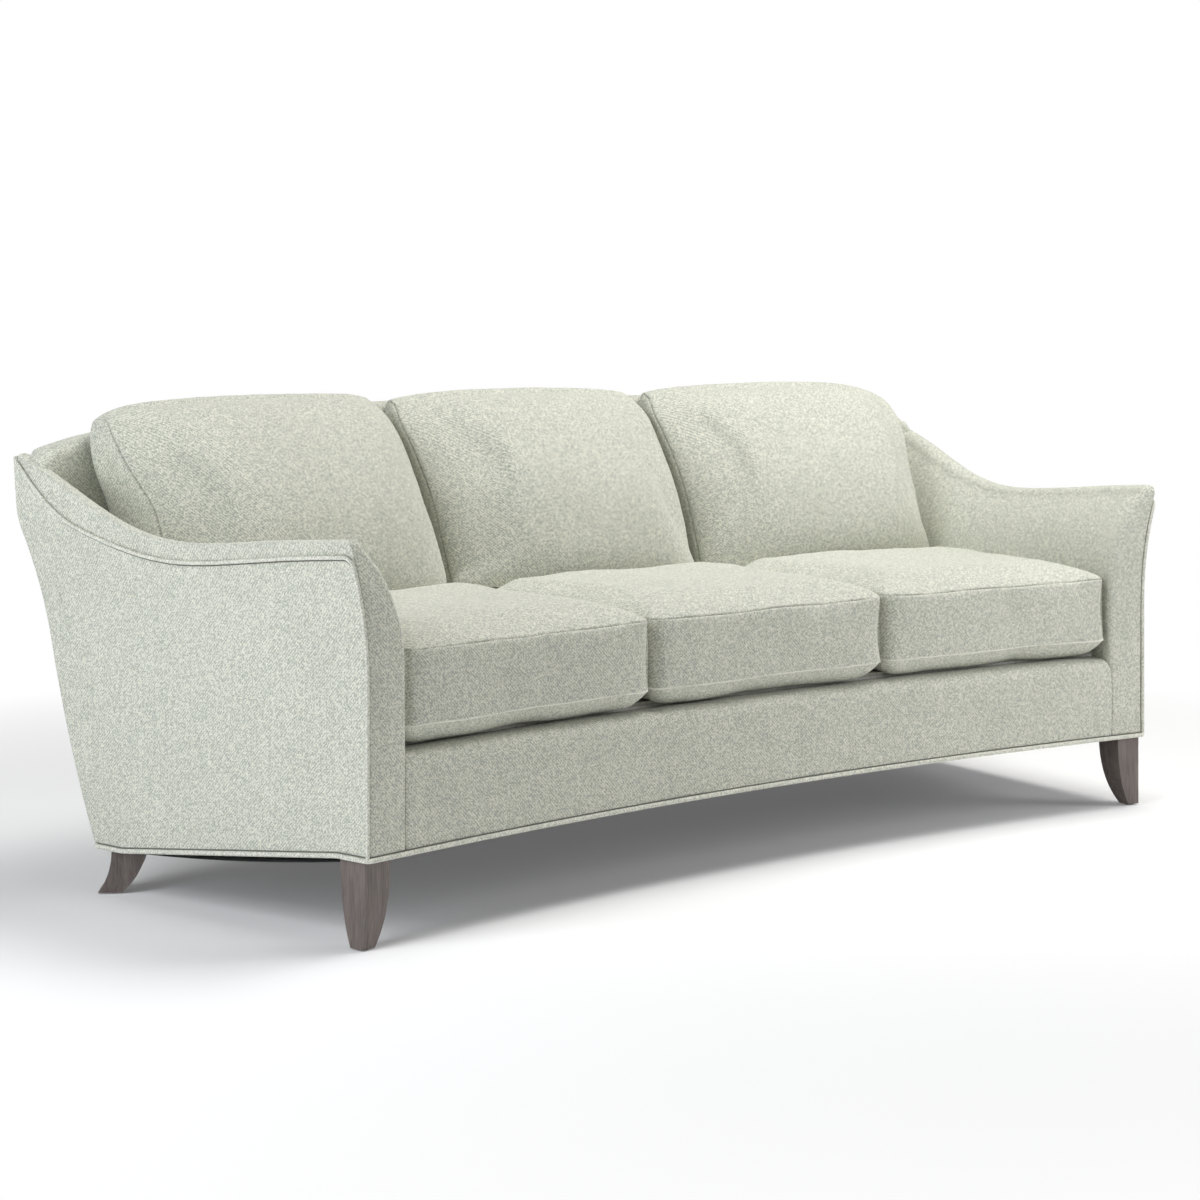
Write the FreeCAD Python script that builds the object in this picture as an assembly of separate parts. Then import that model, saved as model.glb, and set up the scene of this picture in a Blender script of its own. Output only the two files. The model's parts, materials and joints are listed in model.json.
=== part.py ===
import FreeCAD
import Part
import math
import os

# Three-seat sofa with a crescent plan. Millimetres, +Z up, +X to the right seen from the front.
# The plan is drawn from one centre in front of the sofa. On a ray from that centre, t is the distance
# behind the front face. Each arm is drawn in its own frame: b runs outward from the face beside the
# seat, a runs back from the front face, and the ray through that frame's origin bounds the seats.

V = FreeCAD.Vector
up = V(0, 0, 1)

# Plan
front_radius = 6330.0
seat_span = 1810.0
seat_count = 3
arm_width = 86.0

# Base heights
front_clearance = 145.0
rear_clearance = 80.0
slope_start = 72.0
slope_end = 620.0
border_top = 311.0
deck_top = 321.7
soft_gap = 0.3

# Back: outer face leans on one arc, pieces lie at insets from it
back_foot_t = 693.0
back_head_t = 881.0
back_height = 850.0
back_bulge = 40.0
back_thickness = 72.0
back_panel_thickness = 6.0
back_frame_thickness = 32.5
webbing_thickness = 1.5
back_top_padding = 14.0
back_rail_height = 50.0
back_panel_drop = 22.0
crown_half_width = 960.0
crown_drop = 38.0
shoulder_half_width = 1165.0
shoulder_drop = 82.0
shoulder_bulge = 6.0
back_edge_round = 20.0
back_edge_bevel = 12.0
pull_through_drop = 3.0

# Arm: stations back along the arm, crest height there, and drop from the crest to the outer edge
rear_crest_drop = 62.0
arm_stations = [
    (-20.0, 668.0, 30.0),
    (150.0, 658.0, 32.0),
    (330.0, 642.0, 34.0),
    (470.0, 641.0, 39.0),
    (600.0, 668.0, 48.0),
    (730.0, 719.0, 60.0),
    (900.0, back_height - rear_crest_drop, 56.0),
]
inner_flare_height = 212.0
inner_flare_radius = 260.0
roll_start_drop = 17.0
roll_top_reach = 109.0
flare_start = 430.0
flare_height = 207.0
flare_out = 36.0
flare_return_radius = 120.0
arm_padding = 24.0
arm_top_padding = 26.0
arm_front_padding = 15.0
panel_thickness = 7.0
arm_post_depth = 45.0
arm_rail_height = 38.0
roll_end_out = 8.0
roll_end_down = 14.0
edge_rise = 70.0

# Timber
rail_thickness = 25.0
rail_top = 290.0
side_rail_drop = 5.0
arm_pad_lift = 2.0
block_gap = 1.0
post_width = 59.0
upright_width = 50.0
lower_rail_height = 55.0
rear_rail_height = 72.0
frame_foot_gap = 8.0
stretcher_bottom = 190.0
stretcher_height = 60.0
glue_block_size = 60.0
glue_block_height = 100.0
leg_block_length = 84.0
leg_block_height = 48.0

# Springs and deck
border_thickness = 17.5
border_round = 26.0
border_depth = 62.0
spring_wire = 4.0
spring_half_width = 22.0
spring_pitch = 40.0
springs_per_seat = 4
clip_height = 6.5
clip_width = 30.0
clip_depth = 18.0
clip_overhang = 5.0
spring_bearing_front = 10.0
spring_bearing_rear = 22.0
spring_lift = 1.0
tie_width = 3.0
tie_places = (260.0, 500.0)
deck_cover_thickness = 6.7
deck_underside = 297.3
strap_width = 50.0
strap_foot_drop = 40.0
strap_head_drop = 12.0

# Seat cushions
seam_bottom = 350.0
seam_top = 476.0
seat_crown_top = 29.0
seat_crown_bottom = 28.0
seat_draw_in = 6.0
seat_corner = 26.0
seat_crown = [(0, 0.0), (34, 0.5), (95, 0.85), (175, 1.0)]
cushion_gap = 0.6
cover_thickness = 3.0
pressed_height = 486.7
pressed_from = 500.0
zip_length = 400.0
zip_width = 22.0
zip_depth = 20.0
back_zip_place = 60.0

# Back cushions: distance behind the front face and height of the front outline, at the side
# seams and at the middle of the cushion
side_outline = [(592.0, 487.0), (594.0, 508.0), (600.0, 530.0), (669.0, 713.0), (788.0, 850.0)]
middle_outline = [(524.0, 487.0), (508.0, 518.0), (506.0, 560.0), (603.0, 752.0), (765.0, 869.0)]
rear_top_side = 846.0
rear_top_middle = 856.0
back_cushion_gap = 0.8

# Legs: stations from the top down as share of the height, of the narrowing and of the outward kick
front_leg_stations = [(1.0, 0.0, 0.0), (0.62, 0.12, 0.0), (0.3, 0.42, 0.3), (0.0, 1.0, 1.0)]
rear_leg_stations = [(1.0, 0.0, 0.0), (0.55, 0.3, 0.2), (0.0, 1.0, 1.0)]
leg_top_width = 58.0
leg_foot_width = 28.0
leg_kick = 3.0
leg_place_b = 26.0
leg_place_a = 10.0
rear_leg_top_width = 60.0
rear_leg_foot_width = 42.0
rear_leg_sweep = 34.0
rear_leg_b = 42.0
rear_leg_a = 652.0
rear_bolt_b = 57.0
rear_bolt_a = 640.0
glide_radius = 9.0
glide_thickness = 2.5
bolt_radius = 4.0
bolt_reach = 30.0

# Trim
welt_width = 8.0
welt_proud = 5.0
dust_cover_thickness = 1.5
dust_cover_sag = 8.0
dust_cover_front = 20.0
dust_cover_margin = 4.0

# Derived plan values
centre = V(0, -front_radius, 0)
half_angle = math.degrees(math.asin(seat_span / 2 / front_radius))
seat_angle = 2 * half_angle / seat_count
wide_angle = half_angle + 2.4
seat_joins = [(i + 1 - seat_count / 2) * seat_angle for i in range(seat_count - 1)]
below_all = 20.0
above_all = 1100.0
over_back = back_height + 90.0
overrun = 10.0
arm_reach = 300.0
before_seat = -300.0
before_rear = back_foot_t / 2
far = 1400.0
wide = 2600.0
a_before = -400.0
a_beyond = 1150.0


def polar(t, degrees, z):
    angle = math.radians(degrees)
    rho = front_radius + t
    return V(rho * math.sin(angle), rho * math.cos(angle) - front_radius, z)


def span_angle(length, t):
    return math.degrees(length / (front_radius + t))


def line(p, q):
    return Part.LineSegment(p, q).toShape()


def arc(p, middle, q):
    return Part.Arc(p, middle, q).toShape()


def face_from(edges):
    return Part.Face(Part.Wire(edges))


def polygon_face(points):
    return Part.Face(Part.makePolygon(points + [points[0]]))


def box(x0, x1, y0, y1, z0, z1):
    return Part.makeBox(x1 - x0, y1 - y0, z1 - z0, V(x0, y0, z0))


# Sweep a profile drawn at the middle of the sofa (y is t) round the plan centre.
def ring(profile, from_angle, to_angle):
    start = profile.copy()
    start.rotate(centre, up, -from_angle)
    return start.revolve(centre, up, from_angle - to_angle)


def ring_box(t0, t1, z0, z1, from_angle, to_angle):
    corners = [V(0, t0, z0), V(0, t1, z0), V(0, t1, z1), V(0, t0, z1)]
    return ring(polygon_face(corners), from_angle, to_angle)


# Parts of a shape between rays, butted where cloth and timber are joined in widths.
def in_widths(shape, stops):
    widths = []
    for start, end in zip(stops, stops[1:]):
        widths.append(shape.common(ring_box(a_before, a_beyond, 0, above_all, start, end)))
    return widths


def joined_between_seats(shape):
    return Part.makeCompound(in_widths(shape, [-wide_angle] + seat_joins + [wide_angle]))


# Move a shape drawn in an arm's frame (x is b, y is a) to the right-hand arm.
def to_right(shape):
    placed = shape.copy()
    placed.rotate(V(0, 0, 0), up, -half_angle)
    placed.translate(polar(0, half_angle, 0))
    return placed


def to_left(shape):
    return shape.mirror(V(0, 0, 0), V(1, 0, 0))


# Leaning back: one arc in the t-z plane, and concentric arcs inside it.
back_rise = back_height - rear_clearance
back_run = back_head_t - back_foot_t
back_chord = math.hypot(back_rise, back_run)
back_radius = (back_chord ** 2 / 4 + back_bulge ** 2) / (2 * back_bulge)
back_centre_t = (back_foot_t + back_head_t) / 2 - back_rise / back_chord * (back_radius - back_bulge)
back_centre_z = (rear_clearance + back_height) / 2 + back_run / back_chord * (back_radius - back_bulge)


def back_t(z, inset):
    return back_centre_t + math.sqrt((back_radius - inset) ** 2 - (z - back_centre_z) ** 2)


def back_edge(inset, z0, z1):
    middle = (z0 + z1) / 2
    return arc(V(0, back_t(z0, inset), z0), V(0, back_t(middle, inset), middle), V(0, back_t(z1, inset), z1))


def back_band(outer_inset, inner_inset, z0, z1, from_angle=-wide_angle, to_angle=wide_angle):
    edges = [
        back_edge(outer_inset, z0, z1),
        line(V(0, back_t(z1, outer_inset), z1), V(0, back_t(z1, inner_inset), z1)),
        back_edge(inner_inset, z1, z0),
        line(V(0, back_t(z0, inner_inset), z0), V(0, back_t(z0, outer_inset), z0)),
    ]
    return ring(face_from(edges), from_angle, to_angle)


# Everything in front of the back's surface at an inset.
def ahead_of_back(inset, z0=below_all, z1=over_back):
    edges = [
        back_edge(inset, z0, z1),
        line(V(0, back_t(z1, inset), z1), V(0, before_seat, z1)),
        line(V(0, before_seat, z1), V(0, before_seat, z0)),
        line(V(0, before_seat, z0), V(0, back_t(z0, inset), z0)),
    ]
    return ring(face_from(edges), -wide_angle - 1, wide_angle + 1)


# Everything above the back's arched top, lowered by a drop.
def above_arch(drop):
    z_crown = back_height - drop
    z_side = z_crown - crown_drop
    z_shoulder = z_crown - shoulder_drop
    shoulder_middle = (crown_half_width + shoulder_half_width) / 2
    z_middle = (z_side + z_shoulder) / 2 + shoulder_bulge
    y0 = before_rear
    left = [
        V(-shoulder_half_width, y0, z_shoulder),
        V(-shoulder_middle, y0, z_middle),
        V(-crown_half_width, y0, z_side),
    ]
    right = [V(-p.x, p.y, p.z) for p in reversed(left)]
    outer_left = V(-far, y0, z_shoulder - shoulder_drop / 2)
    outer_right = V(far, y0, z_shoulder - shoulder_drop / 2)
    edges = [
        line(outer_left, left[0]),
        arc(left[0], left[1], left[2]),
        arc(left[2], V(0, y0, z_crown), right[0]),
        arc(right[0], right[1], right[2]),
        line(right[2], outer_right),
        line(outer_right, V(far, y0, above_all)),
        line(V(far, y0, above_all), V(-far, y0, above_all)),
        line(V(-far, y0, above_all), outer_left),
    ]
    return face_from(edges).extrude(V(0, far, 0))


# Outer face of an arm: plumb, then flared out, then turned back to plumb.
flare_radius = (flare_height ** 2 + flare_out ** 2) / (2 * flare_out)
flare_angle = math.asin(flare_height / flare_radius)
flare_top_b = arm_width + flare_out
flare_top_z = flare_start + flare_height
return_top_b = flare_top_b + flare_return_radius * (1 - math.cos(flare_angle))
return_top_z = flare_top_z + flare_return_radius * math.sin(flare_angle)


def outer_b(z):
    if z <= flare_start:
        return arm_width
    if z <= flare_top_z:
        return arm_width + flare_radius - math.sqrt(flare_radius ** 2 - (z - flare_start) ** 2)
    if z <= return_top_z:
        sine = math.sin(flare_angle) - (z - flare_top_z) / flare_return_radius
        return flare_top_b + flare_return_radius * (math.sqrt(1 - sine ** 2) - math.cos(flare_angle))
    return return_top_b


# Everything inside an arm's outer face, moved in by an inset, in the arm's frame.
def inside_outer_face(inset, b_inner=-wide, z_low=below_all):
    def at(z):
        return V(outer_b(z) - inset, a_before, z)
    low = V(arm_width - inset, a_before, z_low)
    high = V(return_top_b - inset, a_before, above_all)
    edges = [
        line(low, at(flare_start)),
        arc(at(flare_start), at(flare_start + flare_height / 2), at(flare_top_z)),
        arc(at(flare_top_z), at((flare_top_z + return_top_z) / 2), at(return_top_z)),
        line(at(return_top_z), high),
        line(high, V(b_inner, a_before, above_all)),
        line(V(b_inner, a_before, above_all), V(b_inner, a_before, z_low)),
        line(V(b_inner, a_before, z_low), low),
    ]
    return face_from(edges).extrude(V(0, a_beyond - a_before, 0))


# The arm's rolled top and flared inner face, lofted through its stations.
def arm_roll():
    wires = []
    for a, crest, drop in arm_stations:
        sweep = math.acos(1 - roll_start_b / inner_flare_radius)
        z_start = crest - inner_flare_height
        mid_b = inner_flare_radius * (1 - math.cos(sweep / 2))
        mid_z = z_start + inner_flare_radius * math.sin(sweep / 2)
        z_roll = z_start + inner_flare_radius * math.sin(sweep)
        roll_end = V(outer_b(crest - drop) + roll_end_out, a, crest - drop - roll_end_down)
        start = V(0, a, z_start)
        joint = V(roll_start_b, a, z_roll)
        edges = [
            line(V(0, a, below_all), start),
            arc(start, V(mid_b, a, mid_z), joint),
            arc(joint, V(roll_top_reach, a, crest - 1), roll_end),
            line(roll_end, V(arm_reach, a, roll_end.z)),
            line(V(arm_reach, a, roll_end.z), V(arm_reach, a, below_all)),
            line(V(arm_reach, a, below_all), V(0, a, below_all)),
        ]
        wires.append(Part.Wire(edges))
    return Part.makeLoft(wires, True, False)


roll_start_z = inner_flare_height - roll_start_drop
roll_start_b = inner_flare_radius - math.sqrt(inner_flare_radius ** 2 - roll_start_z ** 2)


# Region of the side view (a, z) between the sloping underside and a curve along the arm's outer edge.
def side_region(bottom_lift, edge_lift, b0, b1, a_front=0.0):
    edge_points = [V(b0, a, crest - drop + edge_lift) for a, crest, drop in arm_stations]
    edge_points.append(V(b0, a_beyond, edge_points[-1].z + edge_rise))
    curve = Part.BSplineCurve()
    curve.interpolate(edge_points)
    top = curve.toShape()
    z_front = front_clearance + bottom_lift
    z_rear = rear_clearance + bottom_lift
    first = edge_points[0]
    last = edge_points[-1]
    edges = [
        top,
        line(last, V(b0, a_beyond, z_rear)),
        line(V(b0, a_beyond, z_rear), V(b0, slope_end, z_rear)),
        line(V(b0, slope_end, z_rear), V(b0, slope_start, z_front)),
        line(V(b0, slope_start, z_front), V(b0, first.y, z_front)),
        line(V(b0, first.y, z_front), first),
    ]
    region = face_from(edges).extrude(V(b1 - b0, 0, 0))
    return region.common(box(b0, b1, a_front, a_beyond, 0, above_all))


# Everything above the sloping underside, in an arm's frame.
def above_underside(lift):
    z_front = front_clearance + lift
    z_rear = rear_clearance + lift
    points = [
        V(-arm_reach, a_before, z_front), V(-arm_reach, slope_start, z_front),
        V(-arm_reach, slope_end, z_rear), V(-arm_reach, a_beyond, z_rear),
        V(-arm_reach, a_beyond, above_all), V(-arm_reach, a_before, above_all),
    ]
    return polygon_face(points).extrude(V(2 * arm_reach, 0, 0))


nodes = {}

# Shared regions
inside_right = to_right(inside_outer_face(0))
inside_right_panel = to_right(inside_outer_face(panel_thickness))
inside_left = to_left(inside_right)
inside_left_panel = to_left(inside_right_panel)
before_back = ahead_of_back(0)
before_padding = ahead_of_back(back_thickness)
frame_inner = back_panel_thickness + back_frame_thickness
before_frame = ahead_of_back(frame_inner)
webbing_inset = frame_inner + webbing_thickness
lining_inset = webbing_inset + soft_gap
frame_foot = rear_clearance + frame_foot_gap


# Outside arms: thin upholstered panels from the front corner to the rear edge.
def outside_arm():
    shell = inside_outer_face(0, 0.0).cut(inside_outer_face(panel_thickness, -overrun))
    return to_right(shell.common(side_region(0, 0, 0, arm_reach))).common(before_back)


outside_arm_right = outside_arm()
nodes["outside_arm_right"] = outside_arm_right
nodes["outside_arm_left"] = to_left(outside_arm_right)


def middle_of(edge):
    return edge.valueAt((edge.FirstParameter + edge.LastParameter) / 2)


def radius_t(point):
    return math.hypot(point.x, point.y + front_radius) - front_radius


# Back: whole padded form first, then its layers.
def rounded_back():
    form = back_band(0, back_thickness, rear_clearance, over_back)
    form = form.common(inside_right).common(inside_left).cut(above_arch(0))
    lowest_top = back_height - shoulder_drop - back_thickness
    long_top = [e for e in form.Edges if e.BoundBox.ZMin > lowest_top and e.Length > 2 * back_thickness]
    middle_inset = back_thickness / 2
    rear = [e for e in long_top if radius_t(middle_of(e)) > back_t(middle_of(e).z, middle_inset)]
    form = form.makeFillet(back_edge_round, rear)
    long_top = [e for e in form.Edges if e.BoundBox.ZMin > lowest_top and e.Length > 2 * back_thickness]
    front = [e for e in long_top if radius_t(middle_of(e)) < back_t(middle_of(e).z, back_thickness - 1)]
    return form.makeChamfer(back_edge_bevel, front)


back_form = rounded_back()
sides_within = inside_right_panel.common(inside_left_panel)
outside_back = back_band(0, back_panel_thickness, rear_clearance, over_back)
outside_back = outside_back.common(sides_within).cut(above_arch(back_panel_drop))
nodes["outside_back"] = outside_back

top_rail_drop = back_top_padding + back_rail_height
frame_zone = back_band(back_panel_thickness, frame_inner, frame_foot, over_back).common(sides_within)
below_top = frame_zone.cut(above_arch(back_top_padding))
nodes["back_top_rail"] = below_top.common(above_arch(top_rail_drop))
below_rail = frame_zone.cut(above_arch(top_rail_drop))

post_inner_b = arm_width - panel_thickness - post_width
post_slab = to_right(box(post_inner_b, arm_reach, before_rear, a_beyond, 0, above_all))
back_post_right = below_rail.common(post_slab)
back_post_left = to_left(back_post_right)
nodes["back_post_right"] = back_post_right
nodes["back_post_left"] = back_post_left


def upright(angle):
    half = span_angle(upright_width / 2, back_foot_t)
    wedge = back_band(back_panel_thickness, frame_inner, frame_foot, over_back, angle - half, angle + half)
    return wedge.cut(above_arch(top_rail_drop))


upright_right = upright(seat_angle / 2)
upright_left = upright(-seat_angle / 2)
nodes["back_upright_right"] = upright_right
nodes["back_upright_left"] = upright_left


def rail_between_posts(z0, z1):
    rail = back_band(back_panel_thickness, frame_inner, z0, z1)
    rail = rail.common(sides_within)
    for post in (back_post_right, back_post_left, upright_right, upright_left):
        rail = rail.cut(post)
    return rail


nodes["back_lower_rail"] = rail_between_posts(rail_top - lower_rail_height, rail_top)
nodes["rear_rail"] = rail_between_posts(frame_foot, frame_foot + rear_rail_height)


# Back webbing: upright straps on the front of the rails, each between two seat springs.
def webbing():
    straps = []
    half = span_angle(strap_width / 2, back_foot_t)
    for seat in (-1, 0, 1):
        for i in range(springs_per_seat - 1):
            angle = (seat + (i + 1) / springs_per_seat - 0.5) * seat_angle
            foot = rail_top - strap_foot_drop
            strap = back_band(frame_inner, webbing_inset, foot, over_back, angle - half, angle + half)
            straps.append(strap.cut(above_arch(back_top_padding + strap_head_drop)))
    return Part.makeCompound(straps)


nodes["back_webbing"] = webbing()


# Arms: padded form, its hollow, and the timber that fills parts of the hollow.
roll = arm_roll()
arm_form = roll.common(inside_outer_face(0, -overrun)).common(above_underside(0))
arm_form = arm_form.common(box(-overrun, arm_reach, 0, a_beyond, 0, above_all))
hollow = roll.copy()
hollow.translate(V(arm_padding, 0, -arm_top_padding))
arm_hollow = hollow.common(inside_outer_face(panel_thickness, -overrun)).common(above_underside(0))
arm_hollow = arm_hollow.common(box(0, arm_reach, arm_front_padding, a_beyond, 0, above_all))

post_rear = arm_front_padding + arm_post_depth
arm_post = arm_hollow.common(box(0, arm_reach, arm_front_padding, post_rear, 0, above_all))
arm_post_right = to_right(arm_post)

lowered = arm_hollow.copy()
lowered.translate(V(0, 0, -arm_rail_height))
arm_rail = arm_hollow.cut(lowered).common(box(0, arm_reach, post_rear, a_beyond, flare_start, above_all))
arm_top_rail_right = to_right(arm_rail).common(before_frame)

side_rail = box(arm_padding, arm_padding + rail_thickness, post_rear, a_beyond, 0, rail_top - side_rail_drop)
side_rail = side_rail.common(above_underside(frame_foot_gap))
side_rail_right = to_right(side_rail).common(before_frame)

below_deck = box(-overrun, arm_padding, arm_front_padding, a_beyond, 0, rail_top + arm_pad_lift)
arm_pad = arm_form.cut(arm_hollow).cut(below_deck)
arm_pad_right = to_right(arm_pad).common(before_padding).cut(outside_arm_right)

nodes["inside_arm_right"] = arm_pad_right
nodes["inside_arm_left"] = to_left(arm_pad_right)
nodes["arm_post_right"] = arm_post_right
nodes["arm_post_left"] = to_left(arm_post_right)
nodes["arm_top_rail_right"] = arm_top_rail_right
nodes["arm_top_rail_left"] = to_left(arm_top_rail_right)
nodes["side_rail_right"] = side_rail_right
nodes["side_rail_left"] = to_left(side_rail_right)


# Inside back: padding in front of the frame that wraps over the top rail. It is joined in widths between
# the seats and beside the arms, and in height to a pull-through strip behind the seat cushions.
def inside_back():
    behind = back_band(0, lining_inset, below_all, over_back)
    form = back_form.cut(behind.cut(above_arch(back_top_padding)))
    rear_skin = back_band(0, back_panel_thickness, below_all, over_back)
    form = form.fuse(back_form.common(rear_skin).common(above_arch(back_panel_drop)))
    for name in ("outside_arm_", "arm_top_rail_"):
        form = form.cut(nodes[name + "right"]).cut(nodes[name + "left"])
    form = form.cut(outside_back)
    strip_top = pressed_height - pull_through_drop
    strip = form.common(box(-far, far, before_rear, a_beyond, deck_underside, strip_top))
    upper = form.common(box(-far, far, before_rear, a_beyond, strip_top, above_all))
    widths = []
    for level in (strip, upper):
        left = in_widths(level, [-wide_angle, -half_angle, seat_joins[0]])
        widths += left + in_widths(level, seat_joins) + [to_left(width) for width in left]
    return Part.makeCompound(widths)


nodes["inside_back"] = inside_back()


# Seat frame
def within_posts(shape):
    keep_right = to_right(box(-wide, arm_padding, a_before, a_beyond, 0, above_all))
    return shape.common(keep_right).common(to_left(keep_right))


front_rail_rear = border_thickness + rail_thickness
front_rail = ring_box(border_thickness, front_rail_rear, front_clearance, rail_top, -wide_angle, wide_angle)
nodes["front_rail"] = joined_between_seats(within_posts(front_rail))


def stretcher(angle):
    half = span_angle(rail_thickness / 2, back_foot_t / 2)
    top = stretcher_bottom + stretcher_height
    beam = ring_box(front_rail_rear, back_head_t, stretcher_bottom, top, angle - half, angle + half)
    return beam.common(before_frame)


nodes["seat_stretcher_right"] = stretcher(seat_angle / 2)
nodes["seat_stretcher_left"] = stretcher(-seat_angle / 2)


# Front border: padded strip over the front rail with a rounded top edge.
def front_border():
    z_round = border_top - border_round
    slant = border_round * (1 - math.sqrt(0.5))
    edges = [
        line(V(0, 0, front_clearance), V(0, 0, z_round)),
        arc(V(0, 0, z_round), V(0, slant, border_top - slant), V(0, border_round, border_top)),
        line(V(0, border_round, border_top), V(0, border_depth, border_top)),
        line(V(0, border_depth, border_top), V(0, border_depth, deck_underside)),
        line(V(0, border_depth, deck_underside), V(0, border_thickness, deck_underside)),
        line(V(0, border_thickness, deck_underside), V(0, border_thickness, front_clearance)),
        line(V(0, border_thickness, front_clearance), V(0, 0, front_clearance)),
    ]
    return ring(face_from(edges), -half_angle, half_angle)


nodes["front_border"] = joined_between_seats(front_border())

deck_cover_bottom = deck_top - deck_cover_thickness
deck_pad = ring_box(border_depth, back_head_t, deck_underside, deck_cover_bottom, -half_angle, half_angle)
nodes["deck_pad"] = deck_pad.common(before_padding)
deck_cover = ring_box(border_depth, back_head_t, deck_cover_bottom, deck_top, -half_angle, half_angle)
nodes["deck_cover"] = joined_between_seats(deck_cover.common(before_padding))

# Springs: flat zigzags from the front rail to the lower back rail.
spring_front = border_thickness + spring_bearing_front
spring_rear = back_t(rail_top, frame_inner) + spring_bearing_rear
spring_z = rail_top + spring_lift


def zigzag(y0, y1):
    count = int((y1 - y0 - spring_wire) / spring_pitch) + 1
    pitch = (y1 - y0 - spring_wire) / (count - 1)
    path = []
    for i in range(count):
        side = -1 if i % 2 == 0 else 1
        y = y0 + spring_wire / 2 + i * pitch
        path.append((side * spring_half_width, y))
        path.append((-side * spring_half_width, y))
    half = spring_wire / 2
    left = []
    right = []
    for i, (x, y) in enumerate(path):
        before = path[max(i - 1, 0)]
        after = path[min(i + 1, len(path) - 1)]
        normals = []
        for p, q in ((before, (x, y)), ((x, y), after)):
            length = math.hypot(q[0] - p[0], q[1] - p[1])
            if length > 0:
                normals.append((-(q[1] - p[1]) / length, (q[0] - p[0]) / length))
        nx = sum(n[0] for n in normals)
        ny = sum(n[1] for n in normals)
        left.append(V(x + nx * half, y + ny * half, 0))
        right.append(V(x - nx * half, y - ny * half, 0))
    return polygon_face(left + right[::-1]).extrude(V(0, 0, spring_wire))


def on_ray(shape, angle):
    placed = shape.copy()
    placed.rotate(V(0, 0, 0), up, -angle)
    placed.translate(polar(0, angle, 0))
    return placed


spring = zigzag(spring_front, spring_rear)
spring.translate(V(0, 0, spring_z))
clips = []
for seat, name in ((-1, "left"), (0, "centre"), (1, "right")):
    group = []
    for i in range(springs_per_seat):
        angle = (seat + (i + 0.5) / springs_per_seat - 0.5) * seat_angle
        placed = on_ray(spring, angle)
        group.append(placed)
        for y in (spring_front - clip_overhang, spring_rear + clip_overhang - clip_depth):
            clip = box(-clip_width / 2, clip_width / 2, y, y + clip_depth, rail_top, rail_top + clip_height)
            clips.append(on_ray(clip, angle).cut(placed))
    nodes["seat_springs_" + name] = Part.makeCompound(group)
nodes["spring_clips"] = Part.makeCompound(clips)

tie_bottom = spring_z + spring_wire
ties = [ring_box(t, t + tie_width, tie_bottom, deck_underside, -half_angle, half_angle) for t in tie_places]
nodes["spring_ties"] = Part.makeCompound(ties)


# Legs, drawn in the arm's frame
def square(b0, a0, width, z):
    points = [V(b0, a0, z), V(b0 + width, a0, z), V(b0 + width, a0 + width, z), V(b0, a0 + width, z)]
    return Part.makePolygon(points + [points[0]])


def front_leg():
    outer = leg_place_b + leg_top_width
    narrow = leg_top_width - leg_foot_width
    wires = []
    for share, taper, kick in front_leg_stations:
        z = glide_thickness + share * (front_clearance - glide_thickness)
        width = leg_top_width - taper * narrow
        wires.append(square(outer + kick * leg_kick - width, leg_place_a + kick * leg_kick, width, z))
    return Part.makeLoft(wires, True, False)


def rear_leg():
    wires = []
    narrow = rear_leg_top_width - rear_leg_foot_width
    for share, taper, sweep in rear_leg_stations:
        z = glide_thickness + share * (rear_clearance - glide_thickness)
        width = rear_leg_top_width - taper * narrow
        wire = square(-width / 2, -width / 2, width, z)
        wire.rotate(V(0, 0, 0), up, 45)
        shift = sweep * rear_leg_sweep * math.sqrt(0.5)
        wire.translate(V(rear_leg_b + shift, rear_leg_a + shift, 0))
        wires.append(wire)
    return Part.makeLoft(wires, True, False)


def rod(b, a, radius, z0, z1):
    return Part.makeCylinder(radius, z1 - z0, V(b, a, z0))


front_bolt_b = leg_place_b + leg_top_width / 2
front_bolt_a = leg_place_a + leg_top_width / 2


def leg_bolt(b, a, z):
    return rod(b, a, bolt_radius, z - bolt_reach, z + bolt_reach)


front_bolt = leg_bolt(front_bolt_b, front_bolt_a, front_clearance)
rear_bolt = leg_bolt(rear_bolt_b, rear_bolt_a, rear_clearance)
front_glide_b = leg_place_b + leg_top_width + leg_kick - leg_foot_width / 2
front_glide_a = leg_place_a + leg_kick + leg_foot_width / 2
rear_shift = rear_leg_sweep * math.sqrt(0.5)
glides = [
    rod(front_glide_b, front_glide_a, glide_radius, 0, glide_thickness),
    rod(rear_leg_b + rear_shift, rear_leg_a + rear_shift, glide_radius, 0, glide_thickness),
]

block_top = rear_clearance + leg_block_height
block_front = rear_leg_a - leg_block_length / 2
leg_block = box(post_inner_b, arm_width - panel_thickness, block_front, a_beyond, rear_clearance, block_top)
leg_block = leg_block.common(above_underside(0)).cut(side_rail).cut(rear_bolt)
rear_block_right = to_right(leg_block).common(before_frame)
front_leg_right = to_right(front_leg().cut(front_bolt))
rear_leg_right = to_right(rear_leg().cut(rear_bolt))
nodes["arm_post_right"] = arm_post_right.cut(to_right(front_bolt))
nodes["arm_post_left"] = to_left(nodes["arm_post_right"])


def both_sides(shapes):
    right = [to_right(shape) for shape in shapes]
    return Part.makeCompound(right + [to_left(shape) for shape in right])


nodes["front_leg_right"] = front_leg_right
nodes["front_leg_left"] = to_left(front_leg_right)
nodes["rear_leg_right"] = rear_leg_right
nodes["rear_leg_left"] = to_left(rear_leg_right)
nodes["leg_bolts"] = both_sides([front_bolt, rear_bolt])
nodes["leg_glides"] = both_sides(glides)


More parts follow.
